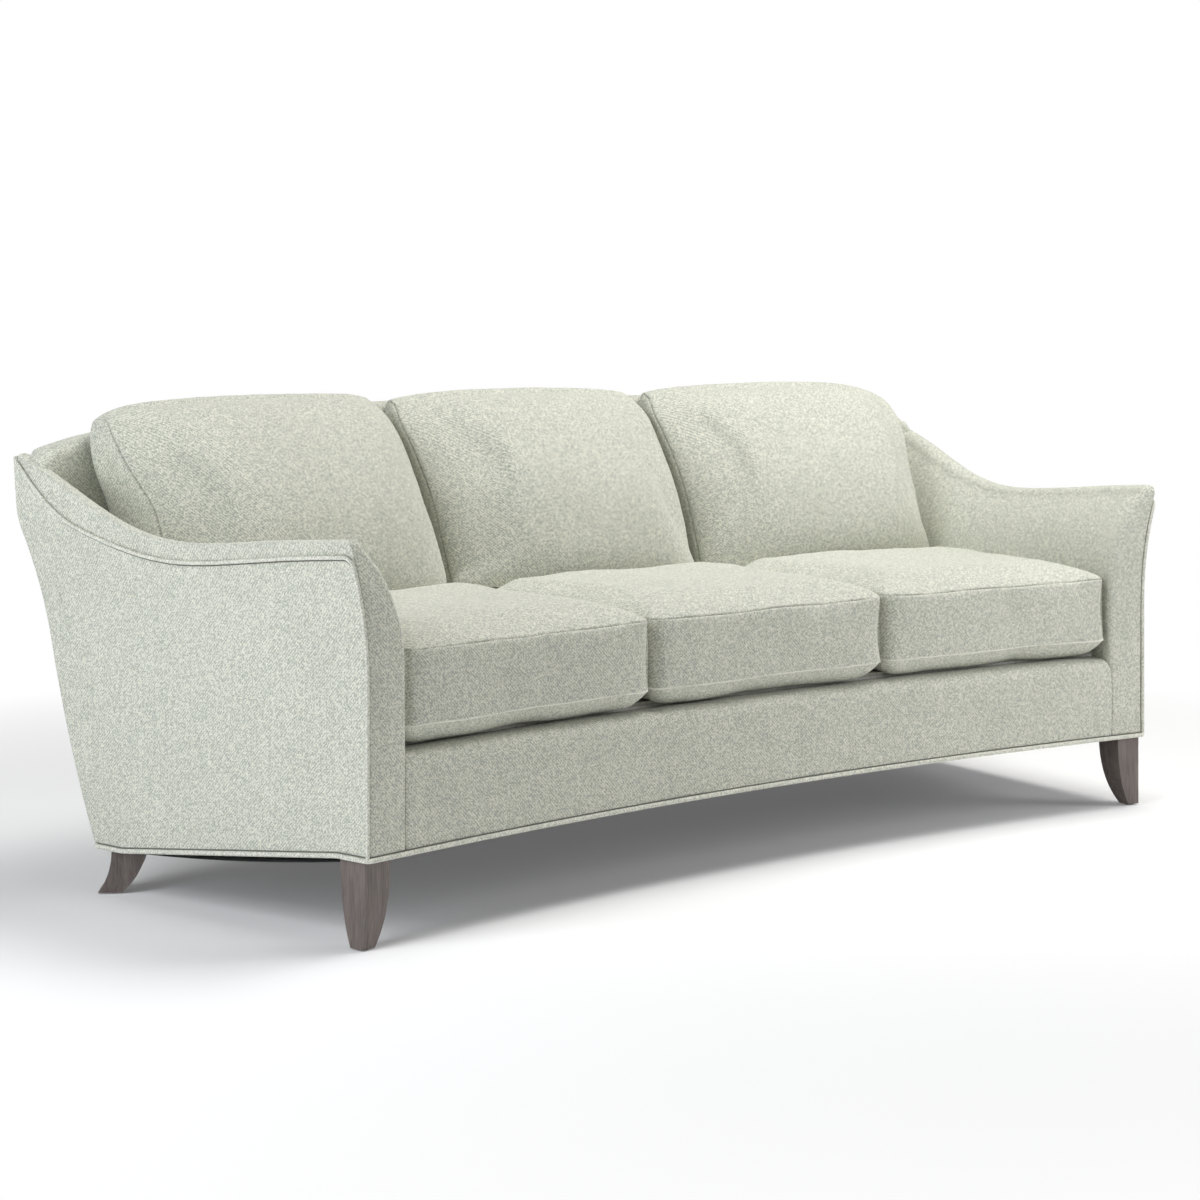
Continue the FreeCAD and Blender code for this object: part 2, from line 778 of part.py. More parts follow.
# Front glue blocks: three-cornered blocks between the front rail and the arm posts.
def glue_block():
    b = arm_padding
    a = front_rail_rear + block_gap
    z = front_clearance + frame_foot_gap
    points = [V(b, post_rear, z), V(b - glue_block_size, a, z), V(b, a, z)]
    return to_right(polygon_face(points).extrude(V(0, 0, glue_block_height)))


block = glue_block().cut(front_rail)
blocks = [block, rear_block_right]
nodes["corner_blocks"] = Part.makeCompound(blocks + [to_left(shape) for shape in blocks])


# Dust cover: thin cloth under the frame, sagging a little between front and rear. Corners that the legs
# cut off are trimmed away.
def dust_cover():
    rear_t = back_t(rear_clearance, back_panel_thickness)
    mid_t = (dust_cover_front + slope_end) / 2
    mid_z = (front_clearance + rear_clearance) / 2 - dust_cover_sag
    thin = V(0, 0, dust_cover_thickness)
    front = V(0, dust_cover_front, front_clearance)
    sag = V(0, mid_t, mid_z)
    level = V(0, slope_end, rear_clearance)
    rear = V(0, rear_t, rear_clearance)
    edges = [
        arc(front, sag, level),
        line(level, rear),
        line(rear, rear - thin),
        line(rear - thin, level - thin),
        arc(level - thin, sag - thin, front - thin),
        line(front - thin, front),
    ]
    cloth = ring(face_from(edges), -wide_angle, wide_angle)
    edge_b = arm_width - panel_thickness - dust_cover_margin
    keep = to_right(box(-wide, edge_b, a_before, a_beyond, 0, above_all))
    cloth = cloth.common(keep).common(to_left(keep))
    for name in ("front_leg_right", "front_leg_left", "rear_leg_right", "rear_leg_left"):
        cloth = cloth.cut(nodes[name])
    cloth = cloth.cut(nodes["leg_bolts"])
    return joined_between_seats(max(cloth.Solids, key=lambda solid: solid.Volume))


nodes["dust_cover"] = dust_cover()


# Welts
def arm_welt():
    proud = inside_outer_face(-welt_proud, 0.0).cut(inside_outer_face(0, -overrun))
    half = welt_width / 2
    along = proud.common(side_region(0, half, 0, arm_reach))
    along = along.cut(side_region(-arm_reach, -half, -overrun, arm_reach + overrun))
    front = proud.common(side_region(welt_width, -half, 0, arm_reach))
    front = front.common(box(0, arm_reach, 0, welt_width, 0, above_all))
    return to_right(along.fuse(front)).common(before_back)


arm_welt_right = arm_welt()
nodes["arm_welt_right"] = arm_welt_right
nodes["arm_welt_left"] = to_left(arm_welt_right)


def base_welt():
    z0 = front_clearance
    front = ring_box(-welt_proud, 0, z0, z0 + welt_width, -half_angle, half_angle)
    ends = box(0, arm_width, -welt_proud, 0, z0, z0 + welt_width)
    proud = inside_outer_face(-welt_proud, 0.0).cut(inside_outer_face(0, -overrun))
    sides = proud.common(above_underside(0)).cut(above_underside(welt_width))
    sides = to_right(sides.common(box(0, arm_reach, 0, a_beyond, 0, rail_top))).common(before_back)
    rear = back_band(-welt_proud, 0, rear_clearance, rear_clearance + welt_width)
    rear = rear.common(inside_right).common(inside_left)
    right_end = to_right(ends)
    return Part.makeCompound([front, right_end, to_left(right_end), sides, to_left(sides), rear])


nodes["base_welt"] = base_welt()


# Seat cushions: boxed, crowned above and below, drawn in between the seams.
seat_rear_t = back_t(seam_bottom, back_thickness) - back_cushion_gap


def seat_outline(inset, z):
    t0 = inset
    t1 = seat_rear_t - inset
    middle_t = (t0 + t1) / 2
    half = seat_angle / 2 - span_angle(cushion_gap + inset, middle_t)
    r = seat_corner - inset * 0.1
    turn0 = span_angle(r, t0)
    turn1 = span_angle(r, t1)
    bite = r * (1 - math.sqrt(0.5))
    bite0 = span_angle(bite, t0)
    bite1 = span_angle(bite, t1)
    edges = [
        arc(polar(t0, turn0 - half, z), polar(t0, 0, z), polar(t0, half - turn0, z)),
        arc(polar(t0, half - turn0, z), polar(t0 + bite, half - bite0, z), polar(t0 + r, half, z)),
        line(polar(t0 + r, half, z), polar(t1 - r, half, z)),
        arc(polar(t1 - r, half, z), polar(t1 - bite, half - bite1, z), polar(t1, half - turn1, z)),
        arc(polar(t1, half - turn1, z), polar(t1, 0, z), polar(t1, turn1 - half, z)),
        arc(polar(t1, turn1 - half, z), polar(t1 - bite, bite1 - half, z), polar(t1 - r, -half, z)),
        line(polar(t1 - r, -half, z), polar(t0 + r, -half, z)),
        arc(polar(t0 + r, -half, z), polar(t0 + bite, bite0 - half, z), polar(t0, turn0 - half, z)),
    ]
    return Part.Wire(edges)


def seat_form(skin):
    rise = seat_crown_top - skin
    fall = seat_crown_bottom - skin
    top = [seat_outline(skin + i, seam_top + share * rise) for i, share in seat_crown]
    bottom = [seat_outline(skin + i, seam_bottom - share * fall) for i, share in seat_crown]
    drawn_in = seat_outline(skin + seat_draw_in, (seam_top + seam_bottom) / 2)
    side = [seat_outline(skin, seam_bottom), drawn_in, seat_outline(skin, seam_top)]
    form = Part.makeLoft(side, True, False)
    form = form.fuse([Part.makeLoft(top, True, False), Part.makeLoft(bottom, True, False)])
    t0 = pressed_from - skin
    return form.cut(ring_box(t0, back_head_t, pressed_height - skin, over_back, -seat_angle, seat_angle))


# Cover, core and zip from an outer form and a function that gives the form less a skin.
def cushion_set(form, zip_region, prefix, angle_names):
    cover = form(0).cut(form(cover_thickness))
    tape = cover.common(zip_region)
    cover = cover.cut(zip_region)
    core = form(cover_thickness + 2 * soft_gap)
    for angle, name in angle_names:
        for piece, shape in (("cover", cover), ("core", core), ("zip", tape)):
            placed = shape.copy()
            placed.rotate(centre, up, -angle)
            nodes[prefix + "_" + piece + "_" + name] = placed


places = [(-seat_angle, "left"), (0.0, "centre"), (seat_angle, "right")]



def zip_box(t0, t1, z0, z1):
    return box(-zip_length / 2, zip_length / 2, t0, t1, z0, z1)


zip_z = (seam_bottom + seam_top) / 2
seat_zip = zip_box(seat_rear_t - zip_depth, back_head_t, zip_z - zip_width / 2, zip_z + zip_width / 2)
cushion_set(seat_form, seat_zip, "seat", places)


# Back cushions: lofted sideways through outlines that bulge and rise towards the middle. The rear face
# is flat, its side edges lie against the inside back, and the crest turns down plumb into it.
def between(p, q, share):
    return (p[0] + (q[0] - p[0]) * share, p[1] + (q[1] - p[1]) * share)


def flat_rear_t(z, inset, degrees):
    reach = (front_radius + back_t(z, inset)) * math.cos(math.radians(seat_angle / 2))
    return reach / math.cos(math.radians(degrees)) - front_radius


def back_section(degrees, share, skin):
    def at(point):
        return polar(point[0], degrees, point[1])
    front = [between(p, q, share) for p, q in zip(side_outline, middle_outline)]
    rear_inset = back_thickness + back_cushion_gap + skin
    z_low = pressed_height + soft_gap + skin
    z_top = rear_top_side + share * (rear_top_middle - rear_top_side)
    low, low_mid, belly, upper, shoulder = front
    start = (low[0] + skin, z_low)
    knee = (low_mid[0] + skin, low_mid[1] + skin)
    waist = (belly[0] + skin, belly[1])
    chest = (upper[0] + skin, upper[1] - skin * 0.6)
    brow = (shoulder[0] + skin * 0.5, shoulder[1] - skin)
    rear_top = (flat_rear_t(z_top, rear_inset, degrees), z_top)
    rear_low = (flat_rear_t(z_low, rear_inset, degrees), z_low)
    depth = rear_top[0] - brow[0]
    crest_radius = (depth ** 2 + (brow[1] - z_top) ** 2) / (2 * depth)
    top = (rear_top[0] - crest_radius, z_top + crest_radius)
    edges = [
        arc(at(start), at(knee), at(waist)),
        arc(at(waist), at(chest), at(brow)),
        arc(at(brow), at(top), at(rear_top)),
        line(at(rear_top), at(rear_low)),
        line(at(rear_low), at(start)),
    ]
    return Part.Wire(edges)


def back_cushion_form(skin):
    half = seat_angle / 2 - span_angle(cushion_gap + skin, back_foot_t)
    shares = ((-1.0, 0.0), (-0.86, 0.42), (-0.5, 0.86), (0.0, 1.0), (0.5, 0.86), (0.86, 0.42), (1.0, 0.0))
    wires = [back_section(place * half, share, skin) for place, share in shares]
    return Part.makeLoft(wires, True, False)


back_zip_t = back_t(pressed_height, back_thickness) - back_zip_place
back_zip = zip_box(back_zip_t, back_zip_t + zip_width, seam_bottom, pressed_height + zip_depth)
cushion_set(back_cushion_form, back_zip, "back", places)


# Stand the sofa on its origin: middle of the overall footprint, at floor height.
def export_all():
    os.makedirs("parts", exist_ok=True)
    whole = Part.makeCompound(list(nodes.values())).optimalBoundingBox(False)
    shift = V(-(whole.XMin + whole.XMax) / 2, -(whole.YMin + whole.YMax) / 2, 0)
    size = [round(length, 1) for length in (whole.XLength, whole.YLength, whole.ZLength)]
    print("overall", size, "shift", round(shift.y, 3))
    for name, shape in nodes.items():
        shape.translate(shift)
        if not shape.isValid() or shape.Volume <= 0:
            print("check", name, shape.isValid(), shape.Volume)
        shape.exportStep("parts/" + name + ".step")
    print(len(nodes), "nodes")


export_all()
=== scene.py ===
import json
import math
import bpy
import bmesh
import numpy as np
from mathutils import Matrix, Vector, noise
from mathutils.kdtree import KDTree


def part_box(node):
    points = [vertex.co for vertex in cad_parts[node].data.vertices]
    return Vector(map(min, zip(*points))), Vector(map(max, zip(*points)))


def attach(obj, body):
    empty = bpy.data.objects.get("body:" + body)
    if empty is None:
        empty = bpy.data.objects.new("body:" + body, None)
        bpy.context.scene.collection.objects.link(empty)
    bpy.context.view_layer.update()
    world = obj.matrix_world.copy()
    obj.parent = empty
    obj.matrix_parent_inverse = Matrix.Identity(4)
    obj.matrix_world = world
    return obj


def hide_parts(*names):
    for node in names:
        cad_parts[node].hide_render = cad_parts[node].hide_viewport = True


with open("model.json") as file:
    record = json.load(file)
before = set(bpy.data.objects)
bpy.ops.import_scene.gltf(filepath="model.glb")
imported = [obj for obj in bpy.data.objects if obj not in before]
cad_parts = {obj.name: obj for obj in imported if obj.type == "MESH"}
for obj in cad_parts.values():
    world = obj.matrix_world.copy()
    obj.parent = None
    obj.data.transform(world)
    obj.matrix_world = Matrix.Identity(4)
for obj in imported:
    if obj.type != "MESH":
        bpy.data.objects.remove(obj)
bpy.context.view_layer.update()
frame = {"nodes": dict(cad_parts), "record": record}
scene = bpy.context.scene
nodes = frame["nodes"]
slotOf = {s["node"]: s["material_slot"] for s in frame["record"]["subparts"]}
print("frame loaded", len(nodes), "nodes")

# The crescent plan: t runs back from the front face on rays from one centre in front of the sofa.
# In an arm's frame b runs outward from the face beside the seat and a runs back. Metres.
plan = {"radius": 6.33, "halfSpan": 0.905, "seats": 3, "armWidth": 0.086,
        "frontLow": 0.145, "rearLow": 0.080, "slopeStart": 0.072, "slopeEnd": 0.620}
back = {"footT": 0.693, "headT": 0.881, "height": 0.850, "bulge": 0.040, "thick": 0.072,
        "crownHalf": 0.960, "crownDrop": 0.038, "shoulderHalf": 1.165, "shoulderDrop": 0.082}
arm = {"a": [-0.02, 0.15, 0.33, 0.47, 0.60, 0.73, 0.90],
       "crest": [0.668, 0.658, 0.642, 0.641, 0.668, 0.719, 0.788],
       "drop": [0.030, 0.032, 0.034, 0.039, 0.048, 0.060, 0.056],
       "rearRise": 0.040, "riseFrom": 0.70, "riseTo": 0.86,
       "flareHeight": 0.212, "flareRadius": 0.260, "rollDrop": 0.017, "rollReach": 0.109,
       "reachDrop": 0.001, "tipOut": 0.008, "tipDrop": 0.014,
       "outerStart": 0.430, "outerHeight": 0.207, "outerOut": 0.036, "outerReturn": 0.120}
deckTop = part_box("deck_cover")[1].z
halfAngle = math.asin(plan["halfSpan"] / plan["radius"])
seatAngle = 2 * halfAngle / plan["seats"]
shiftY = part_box("front_border")[0].y + plan["radius"] * (1 - math.cos(halfAngle))


def polar(t, angle, z):
    rho = plan["radius"] + np.asarray(t, float)
    x = rho * np.sin(angle)
    y = rho * np.cos(angle) - plan["radius"] + shiftY
    return np.stack(np.broadcast_arrays(x, y, np.asarray(z, float)), -1)


def armPlace(b, a, z, side=1):
    b, a = np.asarray(b, float), np.asarray(a, float)
    c, s = math.cos(halfAngle), math.sin(halfAngle)
    x = plan["radius"] * s + b * c + a * s
    y = plan["radius"] * (c - 1) + shiftY - b * s + a * c
    return np.stack(np.broadcast_arrays(side * x, y, np.asarray(z, float)), -1)


rise = back["height"] - plan["rearLow"]
run = back["headT"] - back["footT"]
chord = math.hypot(rise, run)
backRadius = (chord ** 2 / 4 + back["bulge"] ** 2) / (2 * back["bulge"])
backCentreT = (back["footT"] + back["headT"]) / 2 - rise / chord * (backRadius - back["bulge"])
backCentreZ = (plan["rearLow"] + back["height"]) / 2 + run / chord * (backRadius - back["bulge"])


def backT(z, inset=0.0):
    return backCentreT + np.sqrt((backRadius - inset) ** 2 - (np.asarray(z, float) - backCentreZ) ** 2)


outerRadius = (arm["outerHeight"] ** 2 + arm["outerOut"] ** 2) / (2 * arm["outerOut"])
outerAngle = math.asin(arm["outerHeight"] / outerRadius)
outerTopB = plan["armWidth"] + arm["outerOut"]
outerTopZ = arm["outerStart"] + arm["outerHeight"]
returnZ = outerTopZ + arm["outerReturn"] * math.sin(outerAngle)


def outerB(z):
    z = np.asarray(z, float)
    flare = plan["armWidth"] + outerRadius - np.sqrt(
        np.maximum(outerRadius ** 2 - np.clip(z - arm["outerStart"], 0, arm["outerHeight"]) ** 2, 0))
    sine = math.sin(outerAngle) - np.clip(z - outerTopZ, 0, returnZ - outerTopZ) / arm["outerReturn"]
    turned = outerTopB + arm["outerReturn"] * (np.sqrt(1 - sine ** 2) - math.cos(outerAngle))
    return np.where(z <= outerTopZ, flare, turned)


def smoothThrough(xs, ys):
    # natural cubic spline through the points
    xs, ys = np.array(xs, float), np.array(ys, float)
    h = np.diff(xs)
    n = len(xs)
    m = np.eye(n)
    r = np.zeros(n)
    for i in range(1, n - 1):
        m[i, i - 1:i + 2] = h[i - 1], 2 * (h[i - 1] + h[i]), h[i]
        r[i] = 6 * ((ys[i + 1] - ys[i]) / h[i] - (ys[i] - ys[i - 1]) / h[i - 1])
    curve = np.linalg.solve(m, r)

    def at(x):
        x = np.asarray(x, float)
        i = np.clip(np.searchsorted(xs, x) - 1, 0, n - 2)
        p, q = xs[i + 1] - x, x - xs[i]
        return ((curve[i] * p ** 3 + curve[i + 1] * q ** 3) / (6 * h[i])
                + (ys[i] / h[i] - curve[i] * h[i] / 6) * p + (ys[i + 1] / h[i] - curve[i + 1] * h[i] / 6) * q)
    return at


crestAt = smoothThrough(arm["a"], arm["crest"])
dropLine = smoothThrough(arm["a"], arm["drop"])


def dropAt(a):
    # height of the outer edge below the crest; the edge sweeps up to the rear corner
    sweep = np.clip((np.asarray(a, float) - arm["riseFrom"]) / (arm["riseTo"] - arm["riseFrom"]), 0, 1)
    return dropLine(a) - arm["rearRise"] * sweep ** 2


def underAt(a):
    return np.interp(a, [plan["slopeStart"], plan["slopeEnd"]], [plan["frontLow"], plan["rearLow"]])


def archTop(x):
    # height of the back's arched top: a long crown arc and falling shoulders
    x = np.abs(np.asarray(x, float))
    half, drop = back["crownHalf"], back["crownDrop"]
    radius = (half ** 2 + drop ** 2) / (2 * drop)
    crown = back["height"] - radius + np.sqrt(radius ** 2 - np.minimum(x, half) ** 2)
    q = (x - half) / (back["shoulderHalf"] - half)
    fall = back["shoulderDrop"] - drop
    shoulder = back["height"] - drop - fall * q + 0.006 * 4 * q * (1 - q)
    return np.where(x <= half, crown, shoulder)


# Materials
def setInputs(tree, node, values):
    # sets the inputs of a node, or joins them to the outputs that are given
    for key, value in values.items():
        socket = node.inputs[key]
        if isinstance(value, bpy.types.NodeSocket):
            tree.links.new(value, socket)
        else:
            socket.default_value = (*value[:3], 1) if socket.type == "RGBA" else value


def addNode(tree, kind, values=(), **settings):
    node = tree.nodes.new(kind)
    for key, value in settings.items():
        setattr(node, key, value)
    setInputs(tree, node, dict(values))
    return node


def newGroup(name, inputs, outputs):
    # a node group; each input is a number, a vector or a colour, by the length of its value
    tree = bpy.data.node_groups.new(name, "ShaderNodeTree")
    kinds = {1: "NodeSocketFloat", 3: "NodeSocketVector", 4: "NodeSocketColor"}
    for label, value in inputs.items():
        socket = tree.interface.new_socket(label, in_out="INPUT", socket_type=kinds[np.size(value)])
        socket.default_value = value
    for label in outputs:
        kind = kinds[4 if label == "Color" else 1]
        tree.interface.new_socket(label, in_out="OUTPUT", socket_type=kind)
    return tree, tree.nodes.new("NodeGroupInput").outputs, tree.nodes.new("NodeGroupOutput")


def mathNode(tree, kind, a, b=0.0, clamp=False):
    return addNode(tree, "ShaderNodeMath", {0: a, 1: b}, operation=kind, use_clamp=clamp).outputs[0]


def sums(tree):
    # functions that add, subtract and multiply in a tree
    return (lambda a, b, kind=kind: mathNode(tree, kind, a, b) for kind in ("ADD", "SUBTRACT", "MULTIPLY"))


def mixColor(tree, fac, a, b, blend="MIX"):
    values = {"Factor": fac, 6: a, 7: b}
    return addNode(tree, "ShaderNodeMix", values, data_type="RGBA", blend_type=blend).outputs[2]


def ramp(tree, fac, stops):
    n = addNode(tree, "ShaderNodeValToRGB", {0: fac})
    for e, (place, level) in zip(n.color_ramp.elements, stops):
        e.position = place
        e.color = (level, level, level, 1)
    return n.outputs[0]


def noiseNode(tree, vector, scale, detail=2.0, rough=0.5):
    values = {"Vector": vector, "Scale": scale, "Detail": detail, "Roughness": rough}
    return addNode(tree, "ShaderNodeTexNoise", values).outputs[0]


def mapping(tree, vector, scale):
    return addNode(tree, "ShaderNodeMapping", {"Scale": scale, "Vector": vector}).outputs[0]


def objectPlace(tree):
    return tree.nodes.new("ShaderNodeTexCoord").outputs["Object"]


def buildTweed():
    # heathered yarns in a twill: pale warp over darker weft, flecked, under slow drifts of tone
    tree, gi, go = newGroup("tweed", {
        "Weave": (0, 0, 0), "Light": (0.9, 0.9, 0.85, 1), "Middle": (0.7, 0.7, 0.65, 1),
        "Dark": (0.5, 0.5, 0.45, 1), "Yarn": 0.0015, "Contrast": 1.0, "Twill": 0.3, "Drift": 0.06},
        ("Color", "Height", "Mask"))
    add, sub, mul = sums(tree)
    coord = objectPlace(tree)
    perMetre = mathNode(tree, "DIVIDE", 1.0, gi["Yarn"])
    cells = addNode(tree, "ShaderNodeTexVoronoi",
                    {"Randomness": 0.9, "Vector": coord, "Scale": mul(perMetre, 0.72)}).outputs
    shade = addNode(tree, "ShaderNodeSeparateColor", {0: cells["Color"]}).outputs[0]
    fuzz = noiseNode(tree, coord, mul(perMetre, 0.35), 3.0, 0.7)
    split = addNode(tree, "ShaderNodeSeparateXYZ", {0: gi["Weave"]}).outputs
    steps = [mathNode(tree, "FLOOR", add(mul(split[axis], perMetre), 8000.0)) for axis in (0, 1)]
    over = mathNode(tree, "LESS_THAN", mathNode(tree, "MODULO", add(*steps), 4.0), 2.0)
    twill = mul(sub(over, 0.5), gi["Twill"])
    pick = mul(sub(add(mul(shade, 0.6), mul(fuzz, 0.4)), 0.5), gi["Contrast"])
    pick = add(add(pick, twill), 0.5)
    low = mathNode(tree, "MULTIPLY", pick, 2.0, clamp=True)
    high = mathNode(tree, "SUBTRACT", mul(pick, 2.0), 1.0, clamp=True)
    yarn = mixColor(tree, high, mixColor(tree, low, gi["Dark"], gi["Middle"]), gi["Light"])
    slow = noiseNode(tree, coord, 7.0, 3.0, 0.55)
    threads = noiseNode(tree, mapping(tree, coord, (60, 60, 6)), 1.0, 2.0, 0.6)
    tone = add(mul(sub(add(slow, threads), 1.0), gi["Drift"]), 1.0)
    toned = addNode(tree, "ShaderNodeVectorMath", {0: yarn, "Scale": tone}, operation="SCALE").outputs[0]
    hump = mul(sub(1.0, cells["Distance"]), 0.6)
    setInputs(tree, go, {"Color": toned, "Height": add(hump, mul(over, 0.3)), "Mask": pick})
    return tree


def buildGrain():
    # straight wood grain along Z with pores and a few wider bands
    tree, gi, go = newGroup("grain", {
        "Light": (0.6, 0.5, 0.4, 1), "Dark": (0.3, 0.25, 0.2, 1), "Fineness": 1.0},
        ("Color", "Height", "Rough"))
    add, _, mul = sums(tree)
    coord = objectPlace(tree)
    bands = noiseNode(tree, mapping(tree, coord, (45, 45, 5)), gi["Fineness"], 4.0, 0.6)
    pores = noiseNode(tree, mapping(tree, coord, (420, 420, 22)), gi["Fineness"], 3.0, 0.65)
    mixed = add(mul(bands, 0.55), mul(pores, 0.5))
    color = mixColor(tree, ramp(tree, mixed, [(0.36, 0.0), (0.66, 1.0)]), gi["Dark"], gi["Light"])
    rough = ramp(tree, mixed, [(0.3, 0.62), (0.7, 0.42)])
    setInputs(tree, go, {"Color": color, "Height": pores, "Rough": rough})
    return tree


tweedGroup = buildTweed()
grainGroup = buildGrain()


def newMaterial(name):
    mat = bpy.data.materials.new(name)
    mat.use_nodes = True
    return mat, mat.node_tree, mat.node_tree.nodes["Principled BSDF"]


def relief(tree, height, strength, distance):
    values = {"Strength": strength, "Distance": distance, "Height": height}
    return addNode(tree, "ShaderNodeBump", values).outputs[0]


def attribute(tree, name):
    return addNode(tree, "ShaderNodeAttribute", attribute_name=name).outputs


def clothMaterial(name, look):
    mat, tree, bsdf = newMaterial(name)
    add, _, mul = sums(tree)
    values = {k: look[k] for k in ("Light", "Middle", "Dark", "Yarn", "Contrast", "Twill", "Drift")}
    values["Weave"] = attribute(tree, "weave")["Vector"]
    g = addNode(tree, "ShaderNodeGroup", values, node_tree=tweedGroup).outputs
    color = g["Color"]
    # painted shade: along marked seams the colour is darkened; painted highlight: where the mark is negative
    # it is lightened
    if look["seam"]:
        seam = attribute(tree, "seam")["Fac"]
        color = mixColor(tree, seam, color, look["seam"], "MULTIPLY")
        color = mixColor(tree, mul(seam, -1.0), color, look["seamHighlight"])
    setInputs(tree, bsdf, {"Base Color": color, "Roughness": add(mul(g["Mask"], 0.08), 0.86),
                           "Sheen Weight": look["sheen"], "Sheen Roughness": 0.6,
                           "Specular IOR Level": 0.25,
                           "Normal": relief(tree, g["Height"], look["bump"], look["depth"])})
    return mat


def woodMaterial(name, light, dark, fineness=1.0, coat=0.0):
    mat, tree, bsdf = newMaterial(name)
    values = {"Light": light, "Dark": dark, "Fineness": fineness}
    g = addNode(tree, "ShaderNodeGroup", values, node_tree=grainGroup).outputs
    setInputs(tree, bsdf, {"Base Color": g["Color"], "Roughness": g["Rough"], "Coat Weight": coat,
                           "Coat Roughness": 0.35, "Normal": relief(tree, g["Height"], 0.25, 0.0004)})
    return mat


def plainMaterial(name, color, rough, metallic=0.0, grain=900.0, vary=0.15, bump=0.1):
    mat, tree, bsdf = newMaterial(name)
    add, _, mul = sums(tree)
    fine = noiseNode(tree, objectPlace(tree), grain, 3.0, 0.6)
    shade = mixColor(tree, fine, [c * (1 - vary) for c in color], [min(1, c * (1 + vary)) for c in color])
    setInputs(tree, bsdf, {"Base Color": shade, "Roughness": add(mul(fine, 0.2), rough - 0.1),
                           "Metallic": metallic, "Normal": relief(tree, fine, bump, 0.0005)})
    return mat


# seam is a dark colour multiplied in along seam grooves as painted shade; the last colour is mixed in along
# raised seams as a painted highlight
sofaCloth = {"Light": (0.74, 0.73, 0.625), "Middle": (0.56, 0.57, 0.485), "Dark": (0.35, 0.375, 0.32),
             "Yarn": 0.0016, "Contrast": 2.0, "Twill": 0.40, "Drift": 0.12, "bump": 0.3, "depth": 0.0006,
             "sheen": 0.15, "seam": (0.30, 0.30, 0.27), "seamHighlight": (0.84, 0.83, 0.73)}


def otherCloth(name, light, middle, dark, **values):
    # another cloth of the same weave, with no painted shade or highlight along seams
    return clothMaterial(name, dict(sofaCloth, Light=light, Middle=middle, Dark=dark, seam=None, **values))


materials = {
    "upholstery": clothMaterial("sofaTweed", sofaCloth),
    "welt_cloth": otherCloth("weltTweed", (0.80, 0.79, 0.69), (0.64, 0.645, 0.56), (0.46, 0.475, 0.41)),
    "deck_cloth": otherCloth("deckCanvas", (0.62, 0.62, 0.56), (0.52, 0.52, 0.46), (0.42, 0.42, 0.37),
                             Yarn=0.0012),
    "wadding": otherCloth("feltWadding", (0.90, 0.89, 0.86), (0.84, 0.83, 0.80), (0.74, 0.73, 0.70),
                          Yarn=0.004),
    "foam": plainMaterial("cushionFoam", (0.86, 0.80, 0.62), 0.9, grain=500.0, vary=0.08, bump=0.3),
    "zip_tape": otherCloth("zipTape", (0.66, 0.66, 0.60), (0.58, 0.58, 0.52), (0.50, 0.50, 0.45),
                           Yarn=0.0009),
    "cambric": otherCloth("blackCambric", (0.035, 0.035, 0.036), (0.022, 0.022, 0.023),
                          (0.012, 0.012, 0.012), sheen=0.05),
    "webbing": otherCloth("backWebbing", (0.34, 0.31, 0.26), (0.26, 0.24, 0.20), (0.16, 0.15, 0.13),
                          Yarn=0.0018),
    "spring_steel": plainMaterial("oiledWire", (0.24, 0.24, 0.25), 0.35, 0.9),
    "clip_plastic": plainMaterial("clipPlastic", (0.06, 0.06, 0.06), 0.5),
    "paper_tie": plainMaterial("paperTie", (0.62, 0.52, 0.34), 0.8),
    "bolt_steel": plainMaterial("zincBolt", (0.62, 0.62, 0.64), 0.32, 1.0),
    # painted shadow: dark colour of the thin cord that stands in for the shade in the fold beside each welt
    "seam_shadow": plainMaterial("weltShadowLine", (0.16, 0.165, 0.14), 0.95),
    "glide_plastic": plainMaterial("footGlide", (0.16, 0.15, 0.14), 0.5),
    "leg_wood": woodMaterial("stainedLeg", (0.190, 0.155, 0.138), (0.068, 0.054, 0.047), 1.0, 0.12),
    "frame_wood": woodMaterial("frameTimber", (0.62, 0.46, 0.28), (0.42, 0.29, 0.16), 0.7),
}
for name, node in nodes.items():
    node.data.materials.clear()
    node.data.materials.append(materials[slotOf[name]])
print("materials built", len(materials))


def placed(name, data):
    # a new object in the scene
    obj = bpy.data.objects.new(name, data)
    scene.collection.objects.link(obj)
    return obj


def read(items, name, width=1, kind=float):
    # one property of all the vertices, edges, corners or faces, as an array
    values = np.empty(len(items) * width, kind)
    items.foreach_get(name, values)
    return values if width == 1 else values.reshape(-1, width)


def evaluated(obj):
    return obj.evaluated_get(bpy.context.evaluated_depsgraph_get())


# Finished pieces are plain meshes at the origin that ride on a body.
def addPiece(name, verts, faces, slot, body, hides=()):
    mesh = bpy.data.meshes.new(name)
    mesh.from_pydata([tuple(v) for v in verts], [], faces)
    mesh.update()
    obj = placed(name, mesh)
    mesh.materials.append(materials[slot])
    mesh.shade_smooth()
    obj["slotName"], obj["bodyName"], obj["hides"] = slot, body, list(hides)
    return obj


def weaveCoords(obj):
    # flat coordinates in metres, from the side that each face looks to
    mesh = obj.data
    co = coords(obj)[read(mesh.loops, "vertex_index", kind=np.int32)]
    side = np.abs(read(mesh.polygons, "normal", 3) * (1.0, 0.8, 1.1)).argmax(1)
    side = np.repeat(side, read(mesh.polygons, "loop_total", kind=np.int32))
    u = np.where(side == 0, co[:, 1], co[:, 0])
    v = np.where(side == 2, co[:, 1], co[:, 2])
    attr = mesh.attributes.get("weave") or mesh.attributes.new("weave", "FLOAT_VECTOR", "CORNER")
    attr.data.foreach_set("vector", np.stack([u, v, 0 * u], -1).ravel().astype(np.float32))


